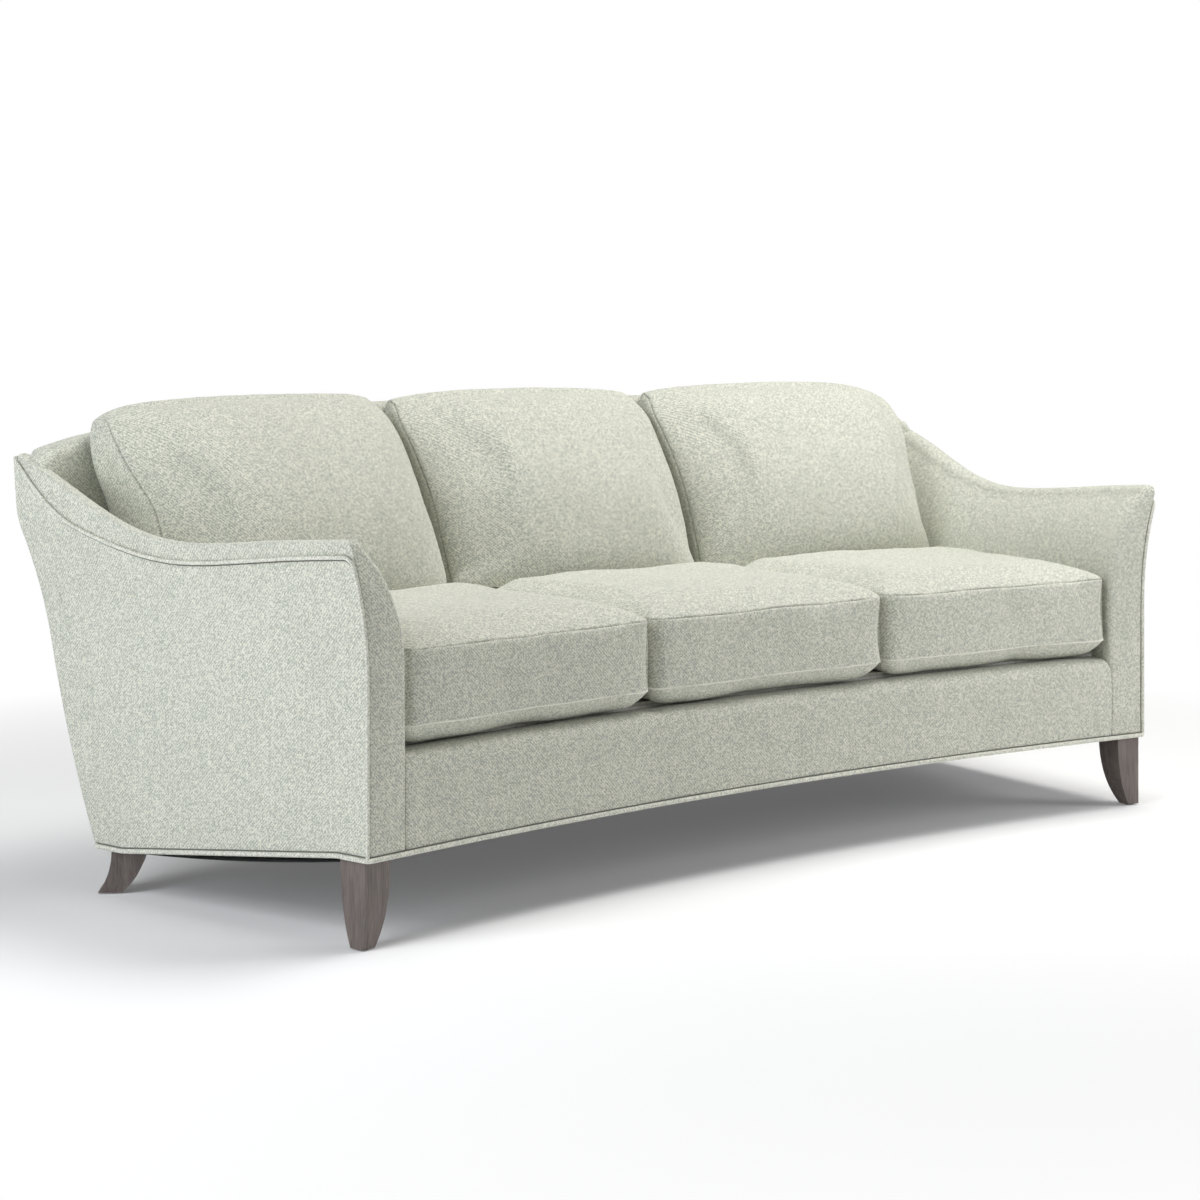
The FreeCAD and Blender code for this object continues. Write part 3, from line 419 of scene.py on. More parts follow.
def declare(obj):
    # give a finished upholstery piece its weave coordinates, hide the parts it replaces and put it on its
    # body
    if obj.get("slotName") == "upholstery":
        weaveCoords(obj)
    if obj.get("hides"):
        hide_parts(*obj["hides"])
    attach(obj, obj["bodyName"])
    for key in ("slotName", "bodyName", "hides"):
        if key in obj:
            del obj[key]


def coords(obj):
    return read(obj.data.vertices, "co", 3)


def setCoords(obj, co):
    obj.data.vertices.foreach_set("co", np.ascontiguousarray(co, float).ravel())
    obj.data.update()


def vertexNormals(obj):
    return read(obj.data.vertices, "normal", 3)


def ripple(obj, amount, size, seed):
    # slow waves of slack cloth, along the normals
    co, nrm = coords(obj), vertexNormals(obj)
    shift = Vector((seed, seed * 1.7, seed * 0.3))
    wave = np.array([noise.noise(Vector(c) / size + shift) for c in co])
    setCoords(obj, co + nrm * (amount * wave)[:, None])


def outward(obj):
    bm = bmesh.new()
    bm.from_mesh(obj.data)
    bmesh.ops.recalc_face_normals(bm, faces=bm.faces)
    bm.to_mesh(obj.data)
    bm.free()
    obj.data.update()


def loopSolid(rows):
    # closed skin over rows of equal loops; both ends are capped
    rows = np.asarray(rows)
    count, n = rows.shape[:2]
    verts = rows.reshape(-1, 3)
    faces = []
    for j in range(count - 1):
        for i in range(n):
            k = (i + 1) % n
            faces.append((j * n + i, j * n + k, (j + 1) * n + k, (j + 1) * n + i))
    faces.append(tuple(range(n))[::-1])
    faces.append(tuple((count - 1) * n + i for i in range(n)))
    return verts, faces


# Arms
# The front corner's rounding changes round the section: (point of the section, radius).
armLook = {"roundAlong": [(0, 0.006), (12, 0.008), (25, 0.017), (37, 0.017), (40, 0.004), (60, 0.004)],
           "rearRound": 0.004, "rows": 90, "ripple": 0.0014}
panelLook = {"thick": 0.0055, "edge": 0.0035, "cornerRound": 0.018, "ripple": 0.0010,
             "sideInset": 0.0045, "crestDrop": 0.022, "cornerFrom": 0.088, "cornerEase": 0.012,
             "cornerDrop": 0.004}


def rollArc(crest, drop):
    # circle through the flare's end, the crest and a point past the outer edge
    q = arm["flareHeight"] - arm["rollDrop"]
    bStart = arm["flareRadius"] - math.sqrt(arm["flareRadius"] ** 2 - q * q)
    p1 = np.array([bStart, crest - arm["rollDrop"]])
    p2 = np.array([arm["rollReach"], crest - arm["reachDrop"]])
    p3 = np.array([float(outerB(crest - drop)) + arm["tipOut"], crest - drop - arm["tipDrop"]])
    m = np.array([p2 - p1, p3 - p1]) * 2
    centre = np.linalg.solve(m, [p2 @ p2 - p1 @ p1, p3 @ p3 - p1 @ p1])
    radius = np.linalg.norm(p1 - centre)
    start = math.atan2(*(p1 - centre)[::-1])
    end = math.atan2(*(p3 - centre)[::-1])
    return centre, radius, start, end


innerSteps = (0.0, 0.03, 0.08, 0.18, 0.3, 0.42, 0.54, 0.66, 0.78, 0.9)
outerSteps = np.array([0.012, 0.03, 0.06, 0.1, 0.15, 0.2, 0.26, 0.33, 0.42, 0.52, 0.64, 0.76, 0.86, 0.94,
                       0.98, 1.0])


def armSection(a, inset=0.0):
    # loop of (b, z): up the inner face, over the crest, down the outer face
    a = float(a)
    crest, drop, low = float(crestAt(a)), float(dropAt(a)), float(underAt(a))
    start = crest - arm["flareHeight"]
    flare = arm["flareRadius"]
    sweep = math.asin((arm["flareHeight"] - arm["rollDrop"]) / flare)
    inner = [(0.0, low + (start - low) * s) for s in innerSteps]
    inner += [(flare * (1 - math.cos(g)), start + flare * math.sin(g)) for g in np.linspace(0, sweep, 15)]
    centre, radius, g0, g1 = rollArc(crest, drop)
    roll = []
    for g in np.linspace(g0, g1, 60)[1:]:
        p = centre + radius * np.array([math.cos(g), math.sin(g)])
        if p[0] > float(outerB(p[1])) - 0.0005:
            break
        roll.append(g)
    turns = np.linspace(g0, roll[-1], 15)[1:]
    arc = [tuple(centre + radius * np.array([math.cos(g), math.sin(g)])) for g in turns]
    edge = arc[-1][1]
    outer = [(float(outerB(z)) - 0.003, z) for z in edge + (low - edge) * outerSteps]
    loop = np.array(inner + arc + outer)
    if inset > 0:
        n1, n2 = (np.stack([d[:, 1], -d[:, 0]], -1) / np.maximum(np.linalg.norm(d, axis=1), 1e-9)[:, None]
                  for d in (loop - np.roll(loop, 1, 0), np.roll(loop, -1, 0) - loop))
        n = n1 + n2
        n = n / np.maximum((n * n1).sum(1), 0.5)[:, None]
        loop = loop + n * inset
    return loop


def rearA(b, z, inset):
    # how far back a point of the arm may lie before it meets the leaning back face
    return np.sqrt((plan["radius"] + backT(z, inset)) ** 2 - np.asarray(b) ** 2) - plan["radius"]


def rollHeight(b, a):
    # height of the arm's rolled top over a point outside the crest
    centre, radius = rollArc(float(crestAt(a)), float(dropAt(a)))[:2]
    return centre[1] + math.sqrt(max(radius ** 2 - (b - centre[0]) ** 2, 0))


def buildArm(side, name, hides):
    # sections from the rounded front corner to the leaning back
    rear = armLook["rearRound"]
    count = len(armSection(0.1))

    def sectionAt(aAt, inset):
        grid = np.linspace(aAt.min(), aAt.max() + 1e-4, 5)
        stack = np.array([armSection(g, inset) for g in grid])
        w = (aAt - grid[0]) / (grid[-1] - grid[0]) * (len(grid) - 1)
        i = np.clip(w.astype(int), 0, len(grid) - 2)
        f = (w - i)[:, None]
        return stack[i, np.arange(count)] * (1 - f) + stack[i + 1, np.arange(count)] * f

    loops = []
    flat = armSection(0.0)
    r = np.interp(np.arange(count), *zip(*armLook["roundAlong"]))
    for phi in (90, 75, 60, 45, 30, 15):
        f = math.radians(phi)
        a = r * (1 - math.sin(f))
        way = armSection(0.0, 1.0) - flat
        loop = flat + way * (r * (1 - math.cos(f)))[:, None]
        loops.append(armPlace(loop[:, 0], a, loop[:, 1], side))
    stations = [(s, 0.0, 0.0) for s in np.linspace(0, 1, armLook["rows"])]
    for g in np.radians((20, 40, 60, 75, 90)):
        stations.append((1.0, rear * math.sin(g), rear * (1 - math.cos(g))))
    for share, reach, inset in stations:
        pts = armSection(r.mean() + share * 0.85, inset)
        for _ in range(4):
            end = rearA(pts[:, 0], pts[:, 1], panelLook["thick"] + 0.001) - rear
            aAt = r + share * (end - r) + reach
            pts = sectionAt(aAt, inset)
        loops.append(armPlace(pts[:, 0], aAt, pts[:, 1], side))
    verts, faces = loopSolid(loops)
    obj = addPiece(name, verts, faces, "upholstery", "base", hides)
    outward(obj)
    ripple(obj, armLook["ripple"], 0.16, 3.0 + side)
    return obj


armRight = buildArm(1, "armCoverRight", ["inside_arm_right"])
armLeft = buildArm(-1, "armCoverLeft", ["inside_arm_left"])
for piece in (armRight, armLeft):
    declare(piece)
print("arms built")


# Thin panels
def spread(near, count):
    # values from 0 to 1 with extra rows close to both ends
    return np.concatenate([near, np.linspace(near[-1], 1 - near[-1], count)[1:-1], 1 - near[::-1]])


def outsideArmSurface(side):
    def at(u, v):
        a0 = 0.0035
        endA = 0.86
        r = panelLook["cornerRound"]
        for _ in range(4):
            a = a0 + u * (endA - a0)
            low = underAt(a)
            near = np.clip(r + a0 - a, 0, r)
            top = crestAt(a) - dropAt(a) - (r - np.sqrt(r * r - near * near))
            z = low + v * (top - low)
            endA = rearA(outerB(z), z, 0.0)
        return armPlace(outerB(z), a, z, side)
    return at


def panelWithEdges(name, surface, lengths, counts, hides, side):
    # a thin closed panel over surface(u, v), with its edges rounded over
    near = np.array([0.0, 0.12, 0.3, 0.55, 1.0]) * panelLook["edge"]
    uu, vv = (spread(near / length, count) for length, count in zip(lengths, counts))
    nu, nv = len(uu), len(vv)
    u, v = np.meshgrid(uu, vv, indexing="ij")
    outer = surface(u, v)
    du, dv = np.gradient(outer, axis=0), np.gradient(outer, axis=1)
    n = np.cross(du, dv)
    n *= side / np.linalg.norm(n, axis=2)[..., None]
    dist = np.minimum(np.minimum(u, 1 - u) * lengths[0], np.minimum(v, 1 - v) * lengths[1])
    ease = np.clip(dist / panelLook["edge"], 0, 1)
    drop = panelLook["edge"] * (1 - np.sqrt(1 - (1 - ease) ** 2))
    skin = outer - n * drop[..., None]
    inner = outer - n * panelLook["thick"]
    verts = np.concatenate([skin.reshape(-1, 3), inner.reshape(-1, 3)])
    k = nu * nv
    faces = []
    for i in range(nu - 1):
        for j in range(nv - 1):
            p, q, s, t = i * nv + j, (i + 1) * nv + j, (i + 1) * nv + j + 1, i * nv + j + 1
            faces.append((p, q, s, t))
            faces.append((k + p, k + t, k + s, k + q))
    rim = [i * nv for i in range(nu)] + [(nu - 1) * nv + j for j in range(1, nv)]
    rim += [i * nv + nv - 1 for i in range(nu - 2, -1, -1)] + [j for j in range(nv - 2, 0, -1)]
    for m, p in enumerate(rim):
        q = rim[(m + 1) % len(rim)]
        faces.append((p, k + p, k + q, q))
    obj = addPiece(name, verts, faces, "upholstery", "base", hides)
    outward(obj)
    ripple(obj, panelLook["ripple"], 0.22, 9.0 + side)
    return obj


cornerB = np.linspace(0.100, 0.134, 30)
cornerZ = [rollHeight(b, float(rearA(b, 0.75, 0.0065))) for b in cornerB]


def cornerTop(b):
    # height of the arm's roll at the back corner
    return np.interp(b, cornerB, cornerZ)


def outsideBackSurface(u, v):
    look = panelLook
    z = 0.7
    for _ in range(5):
        # angle at which the ray meets the arm's outer face
        bEdge = outerB(z) - look["sideInset"]
        rho = plan["radius"] + backT(z, 0.0)
        limit = halfAngle + np.arcsin(bEdge / rho)
        angle = (2 * u - 1) * limit
        x = rho * np.sin(angle)
        b = (abs(angle) - halfAngle) * rho
        # at the corner the panel rises to close the arm's roll
        corner = np.clip((b - look["cornerFrom"]) / look["cornerEase"], 0, 1)
        top = (archTop(x) - look["crestDrop"]) * (1 - corner) + (cornerTop(b) - look["cornerDrop"]) * corner
        low = plan["rearLow"]
        z = low + v * (top - low)
    return polar(backT(z, 0.0), angle, z)


panels = [
    panelWithEdges("outsideArmRight", outsideArmSurface(1), (0.86, 0.55), (70, 50), ["outside_arm_right"], 1),
    panelWithEdges("outsideArmLeft", outsideArmSurface(-1), (0.86, 0.55), (70, 50), ["outside_arm_left"], -1),
    panelWithEdges("outsideBack", outsideBackSurface, (2.25, 0.75), (160, 56), ["outside_back"], 1),
]
for piece in panels:
    declare(piece)
print("outside panels built")


# Inside back
insideBackLook = {"low": 0.2975, "frontRound": 0.020, "rearRound": 0.024, "columns": 120,
                  "endColumns": 14, "ripple": 0.0018, "sinkFrom": 0.120, "sinkSlope": 8,
                  "crestT": 0.86, "skin": 0.001, "rearSink": 0.0065, "lip": (0.0235, 0.0255, 0.030),
                  "edgeGap": 0.0085, "armGap": 0.002, "cornerFrom": 0.1, "cornerGap": 0.0025}


def backSection(top):
    # loop of (inset from the outer face, z): up the padded front, over the top, down behind
    look = insideBackLook
    f, r, thick = look["frontRound"], look["rearRound"], back["thick"]
    skin, sink, lip = look["skin"], look["rearSink"], look["lip"]
    quarter = np.linspace(0, math.pi / 2, 8)
    front = [(thick, z) for z in np.linspace(look["low"], top - f, 22)]
    over = [(thick - f + f * math.cos(g), top - f + f * math.sin(g)) for g in quarter[1:]]
    over += [(skin + r - r * math.sin(g), top - r + r * math.cos(g)) for g in quarter]
    rear = [(skin, top - lip[0]), (sink, top - lip[1])]
    rear += [(sink, z) for z in np.linspace(top - lip[2], look["low"], 7)]
    return np.array(front + over + rear)


def armTop(b, a):
    # height that the back may reach over the arm: the roll itself, and a steep slope inside it
    start, slope = insideBackLook["sinkFrom"], insideBackLook["sinkSlope"]
    return rollHeight(max(b, start), float(a)) + max(start - b, 0) * slope


def buildInsideBack():
    look = insideBackLook
    rows = []
    for angle in np.linspace(0, halfAngle, look["columns"] // 2):
        loop = backSection(float(archTop((plan["radius"] + look["crestT"]) * math.sin(angle))))
        rows.append(polar(backT(loop[:, 1], loop[:, 0]), angle, loop[:, 1]))
    for share in np.linspace(0, 1, look["endColumns"])[1:]:
        top = 0.77
        for _ in range(4):
            b = share * (float(outerB(top)) - look["edgeGap"])
            x = float(armPlace(b, rearA(b, top, 0.03), top)[0])
            top = float(archTop(x))
            if b > look["cornerFrom"]:
                top = min(top, float(cornerTop(b)) - look["cornerGap"])
        loop = backSection(top)
        b = share * (outerB(loop[:, 1]) - look["edgeGap"])
        limit = [armTop(bi, ai) - look["armGap"] for bi, ai in zip(b, rearA(b, loop[:, 1], loop[:, 0]))]
        loop[:, 1] = np.minimum(loop[:, 1], limit)
        b = share * (outerB(loop[:, 1]) - look["edgeGap"])
        rows.append(armPlace(b, rearA(b, loop[:, 1], loop[:, 0]), loop[:, 1]))
    mirrored = [row * np.array([-1, 1, 1]) for row in rows[:0:-1]]
    verts, faces = loopSolid(mirrored + rows)
    obj = addPiece("insideBack", verts, faces, "upholstery", "base", ["inside_back"])
    outward(obj)
    ripple(obj, look["ripple"], 0.18, 21.0)
    return obj


insideBack = buildInsideBack()
declare(insideBack)
print("inside back built")


# Front border
borderLook = {"low": 0.145, "high": 0.311, "round": 0.026, "depth": 0.062, "rearLow": 0.2975,
              "endRound": 0.014, "endSink": 0.006, "columns": 190, "thin": 0.0176, "slack": 0.0016,
              "seamDepth": 0.0016, "seamWidth": 0.004, "ripple": 0.0014}


def buildBorder():
    look = borderLook
    r, high, depth, rearLow, thin = (look[k] for k in ("round", "high", "depth", "rearLow", "thin"))
    front = [(0.0, z) for z in np.linspace(look["low"], high - r, 16)]
    turn = [(r * (1 - math.cos(g)), high - r + r * math.sin(g)) for g in np.linspace(0, math.pi / 2, 10)[1:]]
    top = [(t, high) for t in np.linspace(r, depth, 5)[1:]]
    inside = [(depth, 0.304), (depth, rearLow), (0.040, rearLow), (thin, rearLow)]
    inside += [(thin, 0.22), (thin, look["low"])]
    profile = np.array(front + turn + top + inside)
    rows = []
    length = plan["radius"] * 2 * halfAngle
    near = np.array([0, 0.05, 0.15, 0.3, 0.5, 0.75, 1.0]) * look["endRound"] / length
    for s in spread(near, look["columns"]):
        angle = (2 * s - 1) * halfAngle
        d = min(s, 1 - s) * length
        q = min(1.0, d / look["endRound"])
        sink = look["endSink"] * (1 - math.sqrt(1 - (1 - q) ** 2))
        p = profile.copy()
        p[:, 1] -= np.where(p[:, 1] > 0.27, sink, 0.0)
        p[:len(front) + len(turn), 0] += sink * 0.35
        rows.append(polar(p[:, 0], angle, p[:, 1]))
    verts, faces = loopSolid(rows)
    obj = addPiece("frontBorder", verts, faces, "upholstery", "base", ["front_border"])
    outward(obj)
    # slack between the rail and the roll, and the soft line of two joined widths
    co = coords(obj)
    ang = np.arctan2(co[:, 0], co[:, 1] - shiftY + plan["radius"])
    belly = look["slack"] * np.sin(np.clip((co[:, 2] - look["low"]) / 0.14, 0, 1) * math.pi)
    seamAt = np.minimum(np.abs(ang + seatAngle / 2), np.abs(ang - seatAngle / 2)) * plan["radius"]
    groove = look["seamDepth"] * np.exp(-(seamAt / look["seamWidth"]) ** 2)
    nrm = vertexNormals(obj)
    setCoords(obj, co + nrm * (belly - groove)[:, None])
    ripple(obj, look["ripple"], 0.12, 31.0)
    return obj


border = buildBorder()
declare(border)
print("front border built")


# Welts
def weltTree():
    tree = bpy.data.node_groups.new("weltCord", "GeometryNodeTree")
    for label, kind in (("Cord", "Geometry"), ("Radius", "Float"), ("Sides", "Int"), ("Unevenness", "Float"),
                        ("Finish", "Material")):
        tree.interface.new_socket(label, in_out="INPUT", socket_type="NodeSocket" + kind)
    tree.interface.new_socket("Cord", in_out="OUTPUT", socket_type="NodeSocketGeometry")
    _, sub, mul = sums(tree)
    gi = tree.nodes.new("NodeGroupInput").outputs
    ring = addNode(tree, "GeometryNodeCurvePrimitiveCircle",
                   {"Radius": gi["Radius"], "Resolution": gi["Sides"]})
    sweep = addNode(tree, "GeometryNodeCurveToMesh",
                    {"Curve": gi["Cord"], "Profile Curve": ring.outputs["Curve"], "Fill Caps": True})
    wave = addNode(tree, "ShaderNodeTexNoise", {"Scale": 60.0}).outputs[0]
    normal = tree.nodes.new("GeometryNodeInputNormal").outputs[0]
    shift = addNode(tree, "ShaderNodeVectorMath", {0: normal, "Scale": mul(sub(wave, 0.5), gi["Unevenness"])},
                    operation="SCALE")
    last = addNode(tree, "GeometryNodeSetPosition",
                   {"Geometry": sweep.outputs["Mesh"], "Offset": shift.outputs[0]})
    last = addNode(tree, "GeometryNodeRealizeInstances", {0: last.outputs[0]})
    last = addNode(tree, "GeometryNodeSetMaterial", {0: last.outputs[0], "Material": gi["Finish"]})
    addNode(tree, "NodeGroupOutput", {0: last.outputs[0]})
    return tree


weltNodes = weltTree()
# Arm lines: out from the arm's face, down from its edge, behind its front, where the front corner's
# turn starts. Base lines: out from the border, up from its lower edge.
# The second path of each pair carries a thin dark cord of painted shadow for the fold beside the welt.
weltLook = {"armRadius": 0.0034, "baseRadius": 0.0042, "shadowLineRadius": 0.0011, "sides": 12,
            "unevenness": 0.0006, "step": 0.006, "cornerRound": 0.006,
            "armCord": (0.0012, 0.0008, 0.0008, 0.017), "armShadowLine": (0.0004, -0.0036, 0.0052, 0.020),
            "baseCord": (0.0024, 0.0024), "baseShadowLine": (0.0006, 0.0078)}


def resample(points, step):
    # evenly spaced points along a line
    points = np.asarray(points, float)
    d = np.concatenate([[0], np.cumsum(np.linalg.norm(np.diff(points, axis=0), axis=1))])
    keep = np.concatenate([[True], np.diff(d) > 1e-6])
    points, d = points[keep], d[keep]
    s = np.linspace(0, d[-1], max(2, int(d[-1] / step)))
    return np.stack([np.interp(s, d, points[:, i]) for i in range(3)], -1)


def cordMesh(points, radius, slot, closed):
    # a cord swept along the points by the node group, as a plain mesh
    curve = bpy.data.curves.new("cordLine", "CURVE")
    curve.dimensions = "3D"
    spline = curve.splines.new("POLY")
    points = resample(points, weltLook["step"])
    if closed:
        points = points[:-1]
    spline.points.add(len(points) - 1)
    spline.points.foreach_set("co", np.hstack([points, np.ones((len(points), 1))]).ravel())
    spline.use_cyclic_u = closed
    holder = placed("cordLine", curve)
    mod = holder.modifiers.new("weltCord", "NODES")
    mod.node_group = weltNodes
    values = {"Radius": radius, "Sides": weltLook["sides"], "Unevenness": weltLook["unevenness"],
              "Finish": materials[slot]}
    for item in weltNodes.interface.items_tree:
        if item.in_out == "INPUT" and item.name in values:
            mod[item.identifier] = values[item.name]
    mesh = bpy.data.meshes.new_from_object(evaluated(holder))
    bpy.data.objects.remove(holder)
    bpy.data.curves.remove(curve)
    return mesh


def cordPiece(name, points, shadowPoints, radius, hides, closed=False):
    # the covered cord, and beside it a thin dark cord that is painted shadow of the fold along the welt
    bm = bmesh.new()
    for index, mesh in enumerate((cordMesh(points, radius, "welt_cloth", closed),
                                  cordMesh(shadowPoints, weltLook["shadowLineRadius"], "seam_shadow", closed))):
        first = len(bm.faces)
        bm.from_mesh(mesh)
        bm.faces.ensure_lookup_table()
        for face in bm.faces[first:]:
            face.material_index = index
        bpy.data.meshes.remove(mesh)
    bmesh.ops.recalc_face_normals(bm, faces=bm.faces)
    mesh = bpy.data.meshes.new(name)
    bm.to_mesh(mesh)
    bm.free()
    mesh.materials.append(materials["welt_cloth"])
    mesh.materials.append(materials["seam_shadow"])
    mesh.shade_smooth()
    obj = placed(name, mesh)
    weaveCoords(obj)
    obj["slotName"], obj["bodyName"], obj["hides"] = "welt_cloth", "base", list(hides)
    declare(obj)
    return obj


def armWeltPath(side, out, down, back, turn):
    # from the rear corner forward along the outer edge, round the corner and down the front
    points = []
    last = float(rearA(outerTopB, 0.72, 0.003))
    for a in np.linspace(last, turn, 130):
        z = float(crestAt(a) - dropAt(a)) + down
        points.append(armPlace(float(outerB(z)) + out, a, z, side))
    zTop = float(crestAt(turn) - dropAt(turn)) + down
    for g in np.linspace(0, math.pi / 2, 8)[1:]:
        z = zTop - (turn - back) * (1 - math.cos(g))
        points.append(armPlace(float(outerB(z)) + out, turn - (turn - back) * math.sin(g), z, side))
    for z in np.linspace(z, plan["frontLow"] + 0.006, 60)[1:]:
        points.append(armPlace(float(outerB(z)) + out, back, z, side))
    return points


def baseWeltPath(proud, low):
    # round the foot of the border, the arms and the back
    height = plan["frontLow"] + low
    pts = [polar(-proud, s * halfAngle * 0.9985, height) for s in np.linspace(-1, 1, 200)]
    r = weltLook["cornerRound"]
    w = plan["armWidth"]
    side = [armPlace(b, -proud, height) for b in np.linspace(0.004, w - r, 8)]
    for g in np.linspace(0, math.pi / 2, 6)[1:]:
        side.append(armPlace(w - r + (r + proud) * math.sin(g), r - (r + proud) * math.cos(g), height))
    endA = float(rearA(w, plan["rearLow"], 0.0))
    side += [armPlace(w + proud, a, float(underAt(a)) + low) for a in np.linspace(r, endA - r, 120)[1:]]
    last = armPlace(w, endA, plan["rearLow"] + low)
    limit = math.atan2(last[0], last[1] - shiftY + plan["radius"])
    behind = float(backT(plan["rearLow"] + low, 0)) + proud
    rear = [polar(behind, s * limit, plan["rearLow"] + low) for s in np.linspace(0.998, -0.998, 220)]
    left = [np.array([-p[0], p[1], p[2]]) for p in side][::-1]
    return pts + side + rear + left + [pts[0]]


for side, name in ((1, "Right"), (-1, "Left")):
    cordPiece("armWelt" + name, armWeltPath(side, *weltLook["armCord"]),
              armWeltPath(side, *weltLook["armShadowLine"]), weltLook["armRadius"], ["arm_welt_" + name.lower()])
cordPiece("baseWelt", baseWeltPath(*weltLook["baseCord"]), baseWeltPath(*weltLook["baseShadowLine"]),
          weltLook["baseRadius"], ["base_welt"], closed=True)
print("welts built")


# Cushions
def boxGrid(us, vs, ws):
    # surface of a block as a welded quad mesh; returns parameters (u, v, w) and faces
    index = {}
    params = []
    faces = []

    def vert(i, j, k):
        key = (i, j, k)
        if key not in index:
            index[key] = len(params)
            params.append((us[i], vs[j], ws[k]))
        return index[key]
    nu, nv, nw = len(us) - 1, len(vs) - 1, len(ws) - 1
    for i in range(nu):
        for j in range(nv):
            faces.append((vert(i, j, nw), vert(i + 1, j, nw), vert(i + 1, j + 1, nw), vert(i, j + 1, nw)))
            faces.append((vert(i, j, 0), vert(i, j + 1, 0), vert(i + 1, j + 1, 0), vert(i + 1, j, 0)))
    for i in range(nu):
        for k in range(nw):
            faces.append((vert(i, 0, k), vert(i + 1, 0, k), vert(i + 1, 0, k + 1), vert(i, 0, k + 1)))
            faces.append((vert(i, nv, k), vert(i, nv, k + 1), vert(i + 1, nv, k + 1), vert(i + 1, nv, k)))
    for j in range(nv):
        for k in range(nw):
            faces.append((vert(0, j, k), vert(0, j, k + 1), vert(0, j + 1, k + 1), vert(0, j + 1, k)))
            faces.append((vert(nu, j, k), vert(nu, j + 1, k), vert(nu, j + 1, k + 1), vert(nu, j, k + 1)))
    return np.array(params), faces


def puff(obj, look, frames=20):
    # cloth filled from inside; its folds are calmed and how far any point may move is capped
    before = coords(obj)
    mod = obj.modifiers.new("puff", "CLOTH")
    s = mod.settings
    s.quality = 6
    s.mass = 0.25
    s.tension_stiffness = s.compression_stiffness = 12
    s.shear_stiffness = 6
    s.bending_stiffness = 2.5
    s.use_pressure = True
    s.uniform_pressure_force = look["pressure"]
    s.shrink_min = look["shrink"]
    s.effector_weights.gravity = 0
    s.vertex_group_mass = "seamHold"
    s.pin_stiffness = 0.6
    mod.point_cache.frame_start = 1
    mod.point_cache.frame_end = frames
    for f in range(1, frames + 1):
        scene.frame_set(f)
    move = coords(evaluated(obj)) - before
    obj.modifiers.remove(mod)
    scene.frame_set(1)
    edges = read(obj.data.edges, "vertices", 2, np.int32)
    p, q = edges.T
    degree = np.bincount(edges.ravel(), minlength=len(move))[:, None]
    for _ in range(look["calm"]):
        total = np.zeros_like(move)
        np.add.at(total, p, move[q])
        np.add.at(total, q, move[p])
        move = 0.4 * move + 0.6 * total / degree
    far = np.linalg.norm(move, axis=1)
    move *= np.minimum(1, look["cap"] / np.maximum(far, 1e-9))[:, None]
    setCoords(obj, before + move)


def subdivide(obj):
    mod = obj.modifiers.new("soften", "SUBSURF")
    mod.levels = mod.render_levels = 1
    mesh = bpy.data.meshes.new_from_object(evaluated(obj))
    obj.modifiers.remove(mod)
    old = obj.data
    obj.data = mesh
    bpy.data.meshes.remove(old)
    mesh.shade_smooth()


def seamGroove(obj, lines, depth, width, shade):
    # press the sewn line into the surface and darken it with painted shade, or lighten it with a painted
    # highlight below 0
    pts = np.concatenate([resample(l, 0.0012) for l in lines])
    tree = KDTree(len(pts))
    for i, p in enumerate(pts):
        tree.insert(p, i)
    tree.balance()
    co, nrm = coords(obj), vertexNormals(obj)
    d = np.array([tree.find(c)[2] for c in co])
    press = np.exp(-(d / width) ** 2)
    setCoords(obj, co - nrm * (depth * press)[:, None])
    attr = obj.data.attributes.get("seam") or obj.data.attributes.new("seam", "FLOAT", "POINT")
    mark = read(attr.data, "value") + np.exp(-(d / (0.6 * width)) ** 2) * shade
    attr.data.foreach_set("value", mark.astype(np.float32))


def finishCushion(obj, look, turn, fit, marks):
    # slack and filling, then finer waves and the sewn lines with painted shade or highlight along them; marks
    # are (lines, depth, shade)
    amount, size, seed = look["slack"]
    ripple(obj, amount, size, seed + turn * 80)
    puff(obj, look)
    obj.vertex_groups.clear()
    fit()
    sewn = [([coords(obj)[line] for line in lines], depth, shade) for lines, depth, shade in marks]
    subdivide(obj)
    for amount, size, seed in look["waves"]:
        ripple(obj, amount, size, seed + turn * 30)
    for lines, depth, shade in sewn:
        seamGroove(obj, lines, depth, look["grooveWidth"], shade)
    fit()
    return obj


def planCoords(co, turn, gap):
    # t of points, how far they lie from the cushion's own middle ray, and the room there
    x, y = co[:, 0], co[:, 1] - shiftY + plan["radius"]
    t = np.hypot(x, y) - plan["radius"]
    rho = plan["radius"] + t
    return t, (np.arctan2(x, y) - turn) * rho, (seatAngle / 2) * rho - gap


def denseEnds(near, start, count):
    # values from -1 to 1 with extra rows close to both ends
    return np.concatenate([-1 + near, np.linspace(-1 + start, 1 - start, count), 1 - near[::-1]])


def smoothStep(value, start, width):
    q = np.clip((value - start) / width, 0, 1)
    return q * q * (3 - 2 * q)


seatLook = {"low": 0.350, "high": 0.476, "crownTop": 0.029, "crownLow": 0.037, "corner": 0.028, "gap": 0.0006,
            "start": 0.004, "pressure": 3.0, "cap": 0.014, "calm": 9, "pressT": 0.500, "pressZ": 0.4867,
            "groove": 0.0022, "grooveWidth": 0.0022, "topEase": 0.034, "lowEase": 0.046,
            "hang": 0.0095, "hangT": 0.052, "rearLift": 0.0120, "rearFrom": 0.27, "rearTo": 0.44,
            "rearGap": 0.0008, "rearEase": 0.007, "seamDrop": 0.004, "pull": 0.005,
            "shrink": 0.0, "slack": (0.004, 0.15, 43.0),
            "waves": ((0.0022, 0.11, 41.0), (0.0008, 0.035, 47.0))}


